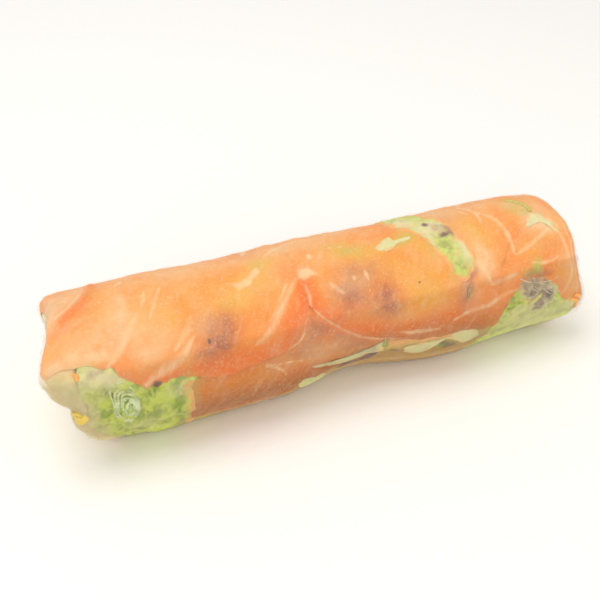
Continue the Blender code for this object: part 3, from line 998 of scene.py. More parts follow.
# The edges of these marks are frayed by the fibres or the mottling of the flesh.
frayed = {
    name: add_node(
        tree, "ShaderNodeMath", {0: noise, 1: share, 2: marks[name]}, operation="MULTIPLY_ADD"
    ).outputs[0]
    for name, noise, share in (
        ("rich", fibres, 0.36),
        ("fat", noises["mottle"], 1.6),
        ("cream", noises["mottle"], 1.0),
    )
}
ramps = {
    name: add_node(
        tree, "ShaderNodeMapRange", {0: source, 1: low, 2: high, 3: first, 4: last}, interpolation_type=kind
    ).outputs[0]
    for name, source, low, high, first, last, kind in (
        ("pale", noises["cloud"], 0.36, 0.62, 0.0, 1.0, "SMOOTHSTEP"),
        ("deep", frayed["rich"], 0.18, 1.02, 0.0, 1.0, "LINEAR"),
        ("mottled", noises["mottle"], 0.3, 0.65, 0.45, 1.25, "LINEAR"),
        ("fibre", fibres, 0.52, 0.76, 0.0, 0.24, "LINEAR"),
        ("line", frayed["fat"], 0.8, 2.5, 0.6, 0.0, "SMOOTHSTEP"),
        ("fading", fibres, 0.35, 0.6, 0.4, 1.0, "LINEAR"),
        ("blister", frayed["cream"], 0.8, 1.5, 0.0, 0.66, "SMOOTHSTEP"),
        ("glint", noises["sparkle"], 0.55, 0.8, 0.0, 0.45, "LINEAR"),
        ("bead", beads.outputs["Distance"], 0.04, 0.15, 0.3, 0.0, "LINEAR"),
    )
}
# What shows through the flesh is broken up by its mottling.
broken = {
    name: add_node(
        tree, "ShaderNodeMath", {0: marks[name], 1: ramps["mottled"]}, operation="MULTIPLY", use_clamp=True
    ).outputs[0]
    for name in ("purple", "green", "haze")
}
faded_line = add_node(tree, "ShaderNodeMath", {0: ramps["line"], 1: ramps["fading"]}, operation="MULTIPLY")
# painted glints of light, with the beads and cream blisters, all mixed in as pale cream
glints_and_beads = add_node(tree, "ShaderNodeMath", {0: ramps["glint"], 1: ramps["bead"]}, operation="MAXIMUM")
cream_and_glints = add_node(tree, "ShaderNodeMath", {0: glints_and_beads.outputs[0], 1: ramps["blister"]}, operation="MAXIMUM")
salmon_colour = SALMON_FLESH
for strength, tint in (
    (ramps["pale"], SALMON_PALE),
    (ramps["deep"], SALMON_DEEP),
    (marks["yellow"], SALMON_YELLOW),
    (broken["purple"], SALMON_PURPLE),
    (broken["green"], SALMON_GREEN),
    (marks["brown_and_shade"], SALMON_BROWN_SHADE),
    (ramps["fibre"], SALMON_FAT),
    (broken["haze"], SALMON_HAZE_AND_SHEEN),
    (faded_line.outputs[0], SALMON_FAT),
    (cream_and_glints.outputs[0], SALMON_FAT),
):
    layer = add_node(tree, "ShaderNodeMix", {0: strength, 6: salmon_colour, 7: tint}, data_type="RGBA")
    salmon_colour = layer.outputs[2]
flesh_bump = add_node(
    tree, "ShaderNodeBump", {"Strength": 0.3, "Distance": 0.15 * MM, "Height": noises["grain"]}
)
set_inputs(tree, shader, {
    "Base Color": salmon_colour, "Normal": flesh_bump.outputs[0], "Roughness": 0.38,
    "Specular IOR Level": 0.25, "IOR": 1.25, "Subsurface Weight": 0.25,
    "Subsurface Radius": (1.0, 0.45, 0.25), "Subsurface Scale": 1.5 * MM,
})

# Lines of fat, each (half width, places it runs through).
FAT_LINES = [
    (0.95, [(-10.3, 67), (-12.4, 60), (-14.7, 53), (-16.9, 46), (-19.1, 37), (-22.4, 30), (-25, 26)]),
    (0.4, [(-12.6, 66), (-15.4, 57), (-17.6, 48), (-20.6, 40)]),
    (1.2, [(-40.5, 42), (-42.8, 34), (-46.5, 27), (-51, 22), (-54, 17)]),
    (0.8, [(-52, 68), (-54.6, 58), (-58.6, 42), (-61, 36)]),
    (0.8, [(-39.4, 58), (-41.4, 48), (-45.4, 36)]),
    (0.5, [(-44.4, 88), (-46.8, 76), (-49.4, 62)]),
    (0.67, [(-15.4, 97), (-11.3, 105), (-7.4, 110), (-4.2, 111)]),
    (0.44, [(-55.6, 98), (-54.8, 102), (-53, 106)]),
    (0.56, [(-50.6, 73), (-49.6, 79), (-48.8, 87)]),
    (0.79, [(-19.8, 110), (-19.0, 118), (-18, 128)]),
    (0.44, [(-8.7, 44), (-8.4, 52), (-8.6, 62)]),
    (1.59, [(-9.2, 68), (-7.4, 71), (-5.4, 68)]),
    (0.67, [(-2.1, 58), (-0.4, 52), (1.5, 47)]),
    (0.5, [(4.6, 60), (5.2, 55)]),
    (0.5, [(8.4, 62), (8.8, 52)]),
    (0.9, [(-4.4, 86), (-4.3, 81)]),
    (0.62, [(45.2, 113), (46.3, 103), (47.3, 90), (46.6, 79)]),
    (0.5, [(43.8, 104), (45, 91)]),
    (0.73, [(48, 92), (50.6, 82), (51.9, 69), (52.2, 56), (51.7, 46)]),
    (0.67, [(52.0, 45), (56.9, 49), (61.9, 56), (65.6, 61)]),
    (0.67, [(51.5, 30), (47, 28), (43, 26)]),
    (0.67, [(30.8, 6), (36.9, 10), (42.4, 11), (48, 16), (51.5, 17)]),
    (0.5, [(67.4, 60), (68.6, 40), (69.2, 20), (66, 4), (64.6, 0)]),
    (0.44, [(70.0, 70), (70.8, 40), (70.8, 10), (69.6, -4)]),
    (0.5, [(57, 36), (62, 33), (66, 36)]),
    (0.62, [(40.6, 47), (42.2, 38), (43.4, 27)]),
    (0.62, [(15, 5), (20, 2), (27, 1)]),
    (0.4, [(-24, 9), (-19, 1), (-17.6, -7)]),
    (0.3, [(-24, 9), (-16, 5), (-10, 2)]),
    (0.4, [(-8, 41), (-5, 30.5), (-2, 22.5), (1.5, 14), (5.5, 6), (10, 1), (16, -3)]),
    (0.3, [(-10.2, 38), (-11.2, 29), (-13.2, 20.5), (-17, 15)]),
    (0.6, [(-63.4, 118), (-64.2, 108), (-66.4, 98), (-69.6, 88), (-73, 81)]),
]


def back_fat_lines():
    """Over the back the lines of fat lean one way within each slice, 7 to 11 mm apart, and break
    off here and there."""
    random = np.random.default_rng(19)
    lines = []
    for first_x, last_x, lean, bow in (
        (-68.0, -28.0, 12.0, -4.0), (0.0, 22.0, -9.0, 3.0), (38.0, 66.0, 9.0, -3.0)
    ):
        for x in np.arange(first_x, last_x, 8.5):
            start = x + random.uniform(-1.5, 1.5)
            low, high = random.uniform(116, 140), random.uniform(165, 204)
            reach = (high - low) / 80.0
            end = start + lean * reach + random.uniform(-2.0, 2.0)
            middle = (start + end) / 2.0 + bow * reach
            width = random.uniform(0.6, 1.1)
            half_way = (low + high) / 2.0 + random.uniform(-6.0, 6.0)
            lines.append((width, [(start, low), (middle, half_way), (end, high)]))
            if random.random() < 0.3:
                run = [(middle + 1.5, low + 10.0), (middle + 4.0, low + 24.0), (end + 3.5, low + 40.0)]
                lines.append((width * 0.7, run))
    return lines


FAT_LINES += back_fat_lines()

# What shows through the slices or colours them, each spot (x, angle, reach along, reach round,
# strength): dark leaf, pale leaf, thicker flesh, and fat or air.
PURPLE_SPOTS = [
    (-33.6, 39, 4.2, 12, 0.85), (-36, 31, 4, 7, 0.3), (-37, 27, 4, 7, 0.4), (-31, 46, 4, 10, 0.35),
    (-36, 50, 5, 8, 0.2), (-20, 120, 4, 12, 0.3), (7, 62, 6, 9, 0.45), (3, 40, 4.5, 10, 0.7),
    (12, 38, 4, 14, 0.75), (2, 50, 5, 9, 0.6), (13, 25, 5, 7, 0.4), (34, 20, 3, 8, 0.4),
    (36.5, 30, 2, 9, 0.5), (37, 100, 4, 10, 0.35), (-12, 165, 7, 14, 0.5), (55, 170, 6, 12, 0.5),
    (-13, 18, 4, 10, 0.3), (-8, 30, 4, 8, 0.15), (2, 8, 5, 6, 0.1),
]
YELLOW_SPOTS = [
    (-18, 88, 3.5, 10, 0.7), (-28, 60, 5, 8, 0.6), (-24, 74, 9, 14, 0.4), (-45, 60, 7, 18, 0.25),
    (-48, 85, 8, 16, 0.2), (5, 86, 4, 8, 0.7), (9, 76, 5, 7, 0.7), (16, 60, 6, 14, 0.35),
    (26, 45, 7, 20, 0.4), (24, 90, 3, 12, 0.6), (-62, 104, 2.2, 9, 0.35), (-72.5, 55, 1.6, 14, 0.35),
    (43.4, -8, 3, 6, 0.5), (16, 80, 3, 6, 0.4), (22, 82, 4, 6, 0.5), (44, 62, 4, 20, 0.5),
    (59, 92, 3, 14, 0.8), (-66, 92, 6, 12, 0.15), (-40, 160, 8, 16, 0.5), (8, 150, 6, 14, 0.4),
    (42, 85, 4, 14, 0.3), (28, 70, 4, 10, 0.5), (67, 20, 4, 22, 0.3), (57, 48, 5, 10, 0.4),
    (24, 30, 6, 12, 0.4), (64, 60, 5, 14, 0.3),
]
RICH_SPOTS = [
    (-30, 18, 14, 8, 0.7), (-38, 16, 7, 7, 0.6), (-12, -10, 5, 8, 0.8), (-50, 22, 6, 7, 0.35),
    (-14, 34, 6, 16, 0.7), (-9, 55, 3, 14, 0.6), (-12, 76, 4, 10, 0.35), (-3, 28, 4, 9, 0.7),
    (5, 12, 6, 8, 0.7), (20, 6, 12, 8, 0.7), (32, 12, 8, 12, 0.4), (43, -6, 5, 10, 0.6),
    (56, 56, 6, 14, 0.3), (64, 40, 5, 20, 0.35), (65, 8, 3, 16, 0.2), (45, 22, 6, 10, 0.3),
    (70, 90, 4, 20, 0.2), (30, 180, 14, 16, 0.4), (-15, -12, 4, 8, 0.5), (1, 14, 5, 8, 0.5),
    (-24, -14, 6, 6, 0.5),
]
CREAM_SPOTS = [
    (-27.6, 77, 1, 2, 0.7), (-23, 104, 0.8, 1.6, 0.8), (-20, 106, 1.2, 1.4, 0.8),
    (-15.5, 103, 0.7, 1.4, 0.7), (2.2, 89, 1.3, 2, 0.9), (5.3, 88, 1.2, 1.6, 0.8), (5.2, 57, 0.9, 3, 0.8),
    (8.6, 58, 0.8, 3, 0.7), (-50.2, 80, 0.8, 5, 0.6), (14, 100, 1.2, 1.6, 0.7), (50, 100, 1.4, 2.5, 0.7),
    (-54, 104, 1.1, 3.4, 0.8), (18, 45, 0.6, 1.4, 0.7), (-44, 62, 0.8, 1.6, 0.6), (-40, 84, 0.6, 1.4, 0.6),
    (10, 28, 0.7, 1.4, 0.6),
]
# Milky blisters, where the paper does not quite touch.
BLISTERS = [
    [
        (-27.8, 80), (-25.2, 77.5), (-22.4, 80), (-18.8, 88), (-18.2, 80), (-20.5, 75), (-22.2, 70),
        (-25.8, 67.6), (-26.4, 72),
    ],
    [(-5.4, 83), (-4.4, 88), (-3.2, 85), (-4.2, 80.5)],
    [(-9.6, 66), (-9.2, 73), (-6, 74.5), (-4.2, 69), (-3.6, 64), (-6, 66.5), (-8, 63)],
    [(59, 66), (60.4, 74), (63, 79), (66, 72), (68.4, 62), (67.4, 55), (65.6, 62), (62, 67)],
]
# Dark leaf pressed right up behind a slice, so that its outline shows, each (strength, outline).
DARK_LEAF = [
    (
        0.85,
        [
            (34.8, 35), (37.6, 40), (40.8, 45), (40, 38.5), (38, 34), (37.8, 28), (36.6, 21), (34.6, 17.6),
            (35, 24), (36, 31),
        ],
    ),
    (0.85, [(53, 25), (56.5, 30.5), (60, 29.5), (62.6, 24), (60, 21.5), (56, 22.5)]),
    (
        0.6,
        [
            (-9.2, 38), (-10.6, 27), (-13.4, 17), (-17, 11), (-12, 4), (-4, 0), (4, -4), (10, -4), (6, 3),
            (1, 12), (-4, 24), (-7, 33),
        ],
    ),
]
# Milky haze where the paper stands off, and a painted sheen of light along the top, each spot (x, angle,
# reach along, reach round, strength).
HAZE_AND_SHEEN_SPOTS = [
    (-52, 38, 3, 5, 0.5), (-56, 54, 9, 14, 0.55), (-60, 68, 7, 12, 0.3), (-6, 7, 7, 9, 0.5),
    (-65, 48, 6, 9, 0.7), (-67, 43, 5, 4, 1.0), (-47, 44, 4, 10, 0.4), (-74, 52, 2.4, 12, 0.2),
    (69, 24, 4, 30, 0.35), (-30, 105, 14, 14, 0.5), (-46, 100, 10, 16, 0.35), (-56, 74, 3, 16, 0.4),
    (-10, 100, 9, 14, 0.4), (-55.6, 80, 1.4, 9, 0.6), (40, 104, 8, 10, 0.3), (2, 108, 10, 10, 0.35),
    (41.5, 48, 2.4, 9, 0.6), (43, 40, 2, 8, 0.5), (50, 104, 5, 9, 0.3), (3, 52, 5, 8, 0.35),
    (-36, 48, 5, 8, 0.3), (-74, 92, 3.4, 20, 0.85), (-78, 90, 3, 22, 0.9), (-77.5, 68, 2, 10, 0.5),
    (-69, 102, 2.6, 9, 0.8), (-66, 112, 3, 6, 0.7), (-12, 24, 3, 14, 0.2), (-70, 44, 4, 5, 0.7),
    (-66, 42, 4, 3, 0.5), (42, 38, 3, 9, 0.5), (45, 48, 3, 8, 0.4), (66, 84, 3, 14, 0.5),
    (62, 66, 4, 8, 0.6), (59, 96, 3, 8, 0.6), (36, 106, 5, 10, 0.5), (42.4, 57, 1.8, 9, 0.9),
    (62, 72, 3.4, 10, 0.7), (66, 62, 3, 8, 0.6),
]
GREEN_SPOTS = [
    (58.4, 32, 1.7, 6, 1.0), (55, 28, 2, 4, 0.4), (60.5, 92, 3.2, 11, 0.75), (62, 80, 2, 5, 0.6),
    (7, 82, 4, 4.5, 0.5), (3, 91, 3, 3, 0.35), (-18, 90, 2.6, 5, 0.4), (24, 84, 3, 7, 0.5),
    (21, 79, 3, 4, 0.4), (-43, -4, 1.8, 24, 0.7), (-40.5, 10, 2.6, 4, 0.4), (-66, 40.5, 5, 2.6, 0.6),
    (33, 44, 2, 6, 0.4), (29, 66, 1.5, 8, 0.3),
]
FLAP_RIDGE = [(-60.8, 118), (-61.6, 108), (-63.4, 97), (-66.6, 86), (-70.6, 77), (-72.5, 66)]

# Where the slices thin out towards a free rim their flesh is a deeper orange, each (reach in mm,
# strength, places).
RICH_RIMS = [
    (2.0, 0.7, FLAP_RIDGE[:4]),
    (2.0, 0.45, FLAP_RIDGE[2:]),
    (2.0, 0.3, LEFT_SLICE_LOWER[4:]),
    (2.6, 0.4, [(-18, 15), (-14.7, 18), (-12.4, 25), (-10.8, 33), (-9.4, 45), (-9, 60)]),
    (
        2.2, 0.4,
        [(-8, 46), (-5, 33), (-2, 26), (1, 18), (5, 10), (9, 6), (13, 3), (18, 1), (24, -1), (31, -1)],
    ),
    (1.6, 0.3, [(34, -1), (39, -4), (43, -12), (46.8, -2), (48.6, 9), (50.6, 17), (53, 25), (57, 30)]),
    (1.8, 0.2, [(64.5, 15), (66, 3), (70, -4)]),
]


def rim_richness(places):
    """How much deeper an orange each place has for lying near a free rim."""
    total = np.zeros(len(places))
    for reach, strength, points in RICH_RIMS:
        distance = distance_to(places, soft_run(points, 40))[0]
        total = np.maximum(total, strength * np.exp(-((distance / reach) ** 2)))
    return total


def salmon_relief(points):
    """The flesh is softly uneven, as the knife and the winding left it."""
    return 0.12 * uneven(points, 9.0, 71) + 0.05 * uneven(points, 3.0, 72)


def add_salmon(name, edges, seed, sunk, rim_rich=1.0, brown_and_shade=None):
    """A slice of salmon inside four edges, with everything that marks it or shows through it, and the light
    and shade painted on it.
    """
    piece, places, _ = add_sheet(
        name, salmon, name, edges, SLICE_THICKNESS, 0.55, sunk=sunk, seed=seed,
        relief=salmon_relief, rim=1.8,
    )
    # painted shade: the flesh is a deeper orange towards the front and below, away from the light on top
    front_deepening_shade = smooth_step(70.0, 0.0, np.abs(places[:, 1])) * 0.2
    write(piece, "fat", nearness(places, FAT_LINES))
    purple = patches(places, PURPLE_SPOTS)
    for strength, outline in DARK_LEAF:
        purple = np.maximum(
            purple, strength * smooth_step(-0.9, 0.9, into_outline(places[:, 0], places[:, 1], outline))
        )
    write(piece, "purple", purple)
    write(piece, "yellow", patches(places, YELLOW_SPOTS))
    strip = smooth_step(1.3, 0.8, distance_to(places, soft_run(FLAP_RIDGE[:5], 40))[0])
    rims = np.maximum(rim_rich * rim_richness(places), 0.75 * strip)
    write(piece, "rich", patches(places, RICH_SPOTS) + rims + front_deepening_shade)
    cream = patches(places, CREAM_SPOTS)
    for outline in BLISTERS:
        cream = np.maximum(
            cream, 0.85 * smooth_step(-0.9, 1.1, into_outline(places[:, 0], places[:, 1], outline))
        )
    write(piece, "cream", cream)
    # haze: milky paper, and a painted sheen along the top
    write(piece, "haze", patches(places, HAZE_AND_SHEEN_SPOTS) * (1.0 - 0.8 * np.minimum(rims, 1.0)))
    write(piece, "green", patches(places, GREEN_SPOTS))
    # painted shade: the slices darken to brown low on the front
    brown_shade_low_front = 0.8 * smooth_step(20.0, -8.0, places[:, 1])
    for none, full in ((-2.0, 10.0), (50.0, 40.0)):
        brown_shade_low_front = brown_shade_low_front * smooth_step(none, full, places[:, 0])
    write(piece, "brown_and_shade", brown_shade_low_front if brown_and_shade is None else brown_and_shade(places))
    return piece


left_slice_right = soft_run(LEFT_SLICE_RIGHT, 80)


def under_band(x, angle):
    """How deep a slice dips to pass under the leaf between the middle and right slices."""
    left = np.interp(
        angle, (34, 44, 53, 61, 70, 80, 92, 104, 114, 150, 206),
        (33.6, 31.7, 31.2, 29.8, 28.6, 27, 24.6, 22.4, 21.6, 20, 19),
    )
    right = np.interp(
        angle, (34, 44, 52, 60, 70, 82, 98, 112, 206), (38, 40.4, 40.6, 40.4, 39, 38.4, 36.4, 33.6, 33.5)
    )
    dip = BAND_THICKNESS * tucked(x - left - 0.5) * tucked(right - x - 0.5)
    return dip * smooth_step(32.0, 38.0, angle)


def under_slice_sunk(x, angle):
    """The slice underneath rises to the paper below the rims of those that lie over it."""
    rim = np.interp(
        x, (-44, -39.7, -35.8, -33.6, -29.7, -21.9, -18, -14.7, -12.4, -10.5, -9.1, -6, -3, 0, 4, 8, 12),
        (14, 11, 8, 6.5, 8, 11, 13, 16, 23, 30, 42, 33, 25, 17, 9, 4, 0),
    )
    return SLICE_THICKNESS * tucked((angle - rim) * DEGREE)


def under_slice_brown_and_shade(places):
    """The slice underneath looks brown through what lies over it, and lower down more brown is painted on
    as shade.
    """
    low = 0.6 * smooth_step(4.0, -22.0, places[:, 1])
    clear = 0.4 * patches(places, [(-4, 24, 9, 20, 1.0)])
    return np.clip(0.4 + low - clear, 0.0, 1.0)


def right_slice_sunk(x, angle):
    """The right slice runs in under the band and, lower down, under the middle slice."""
    middle_rim = np.interp(angle, (-8, 8, 19, 28, 36), (34.2, 34.6, 35.6, 36, 33.4))
    under_middle = SLICE_THICKNESS * tucked(middle_rim - x) * smooth_step(40.0, 33.0, angle)
    return under_band(x, angle) + under_middle


def middle_slice_sunk(x, angle):
    """The middle slice runs in under the band and, above the gap at the front, under the left
    slice."""
    left_rim = np.interp(angle, left_slice_right[:, 1], left_slice_right[:, 0])
    under_left = SLICE_THICKNESS * tucked(left_rim - x) * smooth_step(40.0, 46.0, angle)
    return under_band(x, angle) + under_left


add_salmon(
    "salmon_slice_under",
    (
        [(-43.5, -33), (-20, -36), (0, -22), (11, -9)],
        [(11, -9), (12.4, 8), (10, 36)],
        [(-44, 36), (-9, 52), (10, 36)],
        [(-43.5, -33), (-43.6, -5), (-43.4, 6), (-44, 18), (-44, 36)],
    ),
    seed=1, sunk=under_slice_sunk, rim_rich=0.0, brown_and_shade=under_slice_brown_and_shade,
)
add_salmon(
    "salmon_slice_right",
    (
        RIGHT_SLICE_LOWER,
        [(73, -16), (74.6, 8), (75, 30), (76, 60), (75.5, 90), (75, 120), (74, 160), (73, 210)],
        [(30.5, 204), (50, 208), (73, 210)],
        [
            (33, -8), (33, 10), (33.5, 26), (35.4, 38), (37, 48), (36.8, 60), (35.4, 70), (34, 84),
            (31.4, 100), (30, 114), (30, 150), (30, 204),
        ],
    ),
    seed=2, sunk=right_slice_sunk,
)
add_salmon(
    "salmon_slice_middle",
    (
        [(-3, 25), (0, 17), (4, 9), (8, 4), (12, 0), (17, -5), (22, -7.5), (28, -8.5), (34.2, -8)],
        [(34.2, -8), (34.6, 8), (35.6, 19), (36, 28), (35.4, 38), (34.6, 48), (33, 60), (31, 72),
         (28.6, 86), (25, 102), (24, 114), (23, 150), (22.5, 204)],
        [(-15, 196), (0, 200), (22.5, 204)],
        [(-3, 25), (-6, 33), (-8.9, 44), (-12.5, 58), (-14, 80), (-14.5, 120), (-15, 196)],
    ),
    seed=3, sunk=middle_slice_sunk,
)
EAR_ANGLE = 84.0  # round which the left end stands out a little


def flap_ridge(x, angle):
    """The left slice is folded over on itself along a low ridge near its left end."""
    distance, _ = distance_to(np.column_stack([x.ravel(), angle.ravel()]), soft_run(FLAP_RIDGE, 40))
    ear = 0.5 * np.exp(-(((x + 75.6) / 2.0) ** 2) - ((angle - EAR_ANGLE) / 12.0) ** 2)
    return -0.5 * np.exp(-((distance / 1.3) ** 2)).reshape(x.shape) - ear


add_salmon(
    "salmon_slice_left",
    (
        LEFT_SLICE_LOWER,
        LEFT_SLICE_RIGHT,
        [(-73, 205), (-40, 200), (-11.5, 196)],
        [(-76.6, 43), (-78.4, 58), (-79, 75), (-78.4, 95), (-76.5, 120), (-75, 160), (-73, 205)],
    ),
    seed=4, sunk=flap_ridge,
)

# ---- Small torn bits ----------------------------------------------------------------------
# Scraps of leaf, stem and carrot that lie between the slices and the paper. Each scrap is small
# and flat, with a soft ragged rim.


SCRAP_BED = 0.12  # how deep a scrap is pressed into what it lies on
SCRAP_UNDERSIDE = 0.05
SCRAP_SIDES, SCRAP_RINGS = 44, 7


def scrap(outline, depth, thickness, seed):
    """The points and faces of one closed scrap inside a closed outline of places, the place of
    each point, and how far it lies from the middle of the scrap to its rim."""
    around, rings = SCRAP_SIDES, SCRAP_RINGS
    closed = soft_run(list(outline) + [outline[0]], around + 1)[:-1]
    centre = closed.mean(axis=0)
    rim = centre + (closed - centre) * (1.0 + 0.05 * np.random.default_rng(seed).normal(size=(around, 1)))
    shares = np.linspace(0.0, 1.0, rings + 1)[1:]
    grid = centre + (rim - centre)[:, None] * shares[None, :, None]
    bulge = np.sqrt(1.0 - shares**4)[None, :]
    rise = 0.3 * thickness * uneven(place(grid[..., 0], grid[..., 1]), 2.2, seed + 90)
    foot = first_layer(grid[..., 1]) + depth + SCRAP_BED
    top = foot - (thickness + SCRAP_BED + rise) * bulge
    upper = place(grid[..., 0], grid[..., 1], top).reshape(-1, 3)
    lower = place(grid[:, :-1, 0], grid[:, :-1, 1], foot[:, :-1] + SCRAP_UNDERSIDE).reshape(-1, 3)
    pole_depth = first_layer(centre[1]) + depth
    poles = [
        place(centre[0], centre[1], pole_depth - thickness),
        place(centre[0], centre[1], pole_depth + SCRAP_BED + SCRAP_UNDERSIDE),
    ]
    number = np.arange(around * rings).reshape(around, rings)
    below = np.hstack(
        [len(upper) + np.arange(around * (rings - 1)).reshape(around, rings - 1), number[:, -1:]]
    )
    outwards = np.sign(np.cross(rim - centre, np.roll(rim, -1, axis=0) - centre).sum())
    faces = []
    for numbers, pole, turning in (
        (number, len(upper) + len(lower), outwards), (below, len(upper) + len(lower) + 1, -outwards)
    ):
        looped = np.vstack([numbers, numbers[:1]])
        fan = [[pole, a, b] for a, b in zip(looped[:-1, 0], looped[1:, 0])]
        faces += [quad[:: -int(turning)] for quad in grid_faces(looped).tolist()]
        faces += [triangle[:: int(turning)] for triangle in fan]
    places = np.vstack([grid.reshape(-1, 2), grid[:, :-1].reshape(-1, 2), centre, centre])
    outwardness = np.concatenate([np.tile(shares, around), np.tile(shares[:-1], around), [0.0, 0.0]])
    return np.vstack([upper, lower, poles]), faces, places, outwardness


def add_scraps(name, material, node, outlines, depth, thickness=0.2, cover=0.0, draped=True):
    """Some scraps as one piece. Each is (outline, how much of it is pale rib, how purple). The
    paper is draped over them, unless they lie on it."""
    points, faces, places, kinds, outwards = [], [], [], [], []
    for number, (outline, rib_share, purple_share) in enumerate(outlines):
        more_points, more_faces, more_places, outwardness = scrap(outline, depth, thickness, seed=number)
        if draped:
            tops.append(
                (more_places[:, 0], more_places[:, 1], np.full(len(more_places), FIRST_DEPTH + depth))
            )
        outwards.append(outwardness)
        faces += [[corner + len(kinds) for corner in face] for face in more_faces]
        points.append(more_points)
        places.append(more_places)
        kinds += [(rib_share, purple_share)] * len(more_points)
    piece = add_piece(name, np.vstack(points), faces, material, node)
    piece.data.set_sharp_from_angle(angle=math.radians(SHARP_RIM))
    kinds = np.array(kinds)
    write_places(piece, np.vstack(places))
    write(piece, "rib", kinds[:, 0])
    write(piece, "purple", kinds[:, 1])
    write(piece, "covered", cover * (0.35 + 0.65 * np.concatenate(outwards) ** 2))


add_scraps(
    "leaf_scraps_front", leaf, "lettuce_leaf_under",
    [
        (
            [
                (-10.4, -6), (-8, -7.5), (-4, -10.5), (0, -12.6), (4, -12.4), (8, -11.2), (10, -8),
                (11, -2), (11.8, -8), (12.6, -13), (10.4, -15.6), (7.4, -15), (5.4, -20), (2, -23),
                (-1, -22.6), (-4, -17), (-7.6, -11.6),
            ],
            0.8, 0.3,
        ),
        (
            [(-13.6, -27), (-12.4, -21), (-9.6, -21.6), (-6, -26), (-5, -33), (-9, -38), (-12.6, -34)], 0.6,
            0.1,
        ),
        (
            [
                (-2, -25), (1, -24.4), (4.6, -23), (6.4, -18), (8, -15), (10, -14.6), (10, -19), (8, -25),
                (3, -30), (-1, -29),
            ],
            0.0, 0.85,
        ),
        ([(13, -13.5), (15, -15), (17.6, -15.6), (15.6, -18), (13, -16.6)], 0.0, 0.7),
        ([(11.3, 3), (10.8, -4), (10.3, -9), (11.5, -9.6), (12.5, -8.6), (11.9, -3)], 0.2, 0.5),
        (
            [
                (16.2, -15), (19.6, -12.4), (25, -11), (29.6, -10), (27.4, -15), (25.6, -20), (23.6, -25),
                (20.4, -26), (18, -21),
            ],
            0.8, 0.0,
        ),
        (
            [
                (29, -11), (31, -8), (33.6, -6.4), (36.4, -7.6), (38.4, -11), (40, -16), (40.4, -20),
                (38, -22.6), (35.2, -23), (33.2, -18), (31, -13.6),
            ],
            0.8, 0.0,
        ),
        (
            [
                (46.6, -2), (47.6, 4), (49.6, 6.6), (52, 5.8), (54.6, 5.4), (55, 3.6), (52.6, 2.6), (50, 2),
                (48.4, -2),
            ],
            0.0, 0.0,
        ),
        ([(54.2, -0.6), (56, 3), (58.8, 7.4), (58.6, 4.6), (56.8, 0.4)], 0.35, 0.0),
        (
            [(28, -14), (30, -13.6), (32.4, -17.6), (34.2, -22), (32, -23.6), (28.6, -22), (26.4, -19)],
            0.0, 0.55,
        ),
    ],
    depth=-0.12, cover=0.42,
)
add_scraps(
    "leaf_scraps_top", leaf, "lettuce_leaf_band",
    [
        (
            [
                (13.8, 79), (16, 83), (19.4, 90), (20, 84), (23, 84), (26.5, 83), (26, 79.5), (21, 79),
                (18.4, 74), (15, 75),
            ],
            0.9, 0.0,
        ),
        (
            [
                (58.2, 65), (59.4, 72), (61, 78), (63, 80), (65, 78), (66.4, 70), (68.4, 62), (67.6, 55),
                (66.2, 58), (65, 64), (62, 68),
            ],
            1.0, 0.12,
        ),
    ],
    depth=0.0, cover=0.55,
)
add_scraps(
    "purple_flecks", leaf, "lettuce_leaf_left",
    [
        ([(-52.6, 16), (-51.6, 19), (-50, 18), (-50.2, 15), (-51.6, 13.6)], 0.0, 1.0),
        ([(-36.9, 39), (-36.2, 39), (-36.1, 35.5), (-36.8, 35)], 0.0, 0.85),
        ([(22, 43), (22.8, 42.8), (22.6, 41.2), (21.9, 41.4)], 0.0, 0.8),
        ([(36.9, 31), (36, 26), (35.2, 20), (35.8, 20), (36.5, 24.6), (37.1, 29.6)], 0.3, 0.45),
    ],
    depth=0.02, cover=0.6,
)
# A crumb of yellow pepper, stuck to the folded paper low at the left end.
pepper, tree, shader, coordinates = start_material("yellow pepper")
PEPPER_YELLOW = colour("#D8B83C")
PEPPER_PALE = colour("#E6CE70")
juicy = add_node(
    tree, "ShaderNodeTexNoise", {"Vector": coordinates, "Scale": 1 / (1.5 * MM), "Detail": 2.0}
)
pepper_colour = add_node(
    tree, "ShaderNodeMix", {0: juicy.outputs["Fac"], 6: PEPPER_YELLOW, 7: PEPPER_PALE}, data_type="RGBA"
)
set_inputs(tree, shader, {
    "Base Color": pepper_colour.outputs[2], "Roughness": 0.35, "Subsurface Weight": 0.2,
    "Subsurface Scale": 1.0 * MM,
})
add_scraps(
    "pepper_crumbs", pepper, "lettuce_leaf_left",
    [
        ([(-74.8, 8), (-73.2, 6), (-72, 7), (-70.8, 4), (-71.6, 0.6), (-73.2, -0.6), (-74.6, 2)], 0.0, 0.0),
        ([(-74.2, 10), (-73.2, 8.4), (-72.6, 6.6), (-73.8, 6), (-74.8, 8)], 0.0, 0.0),
    ],
    depth=-0.55, thickness=0.9, draped=False,
)

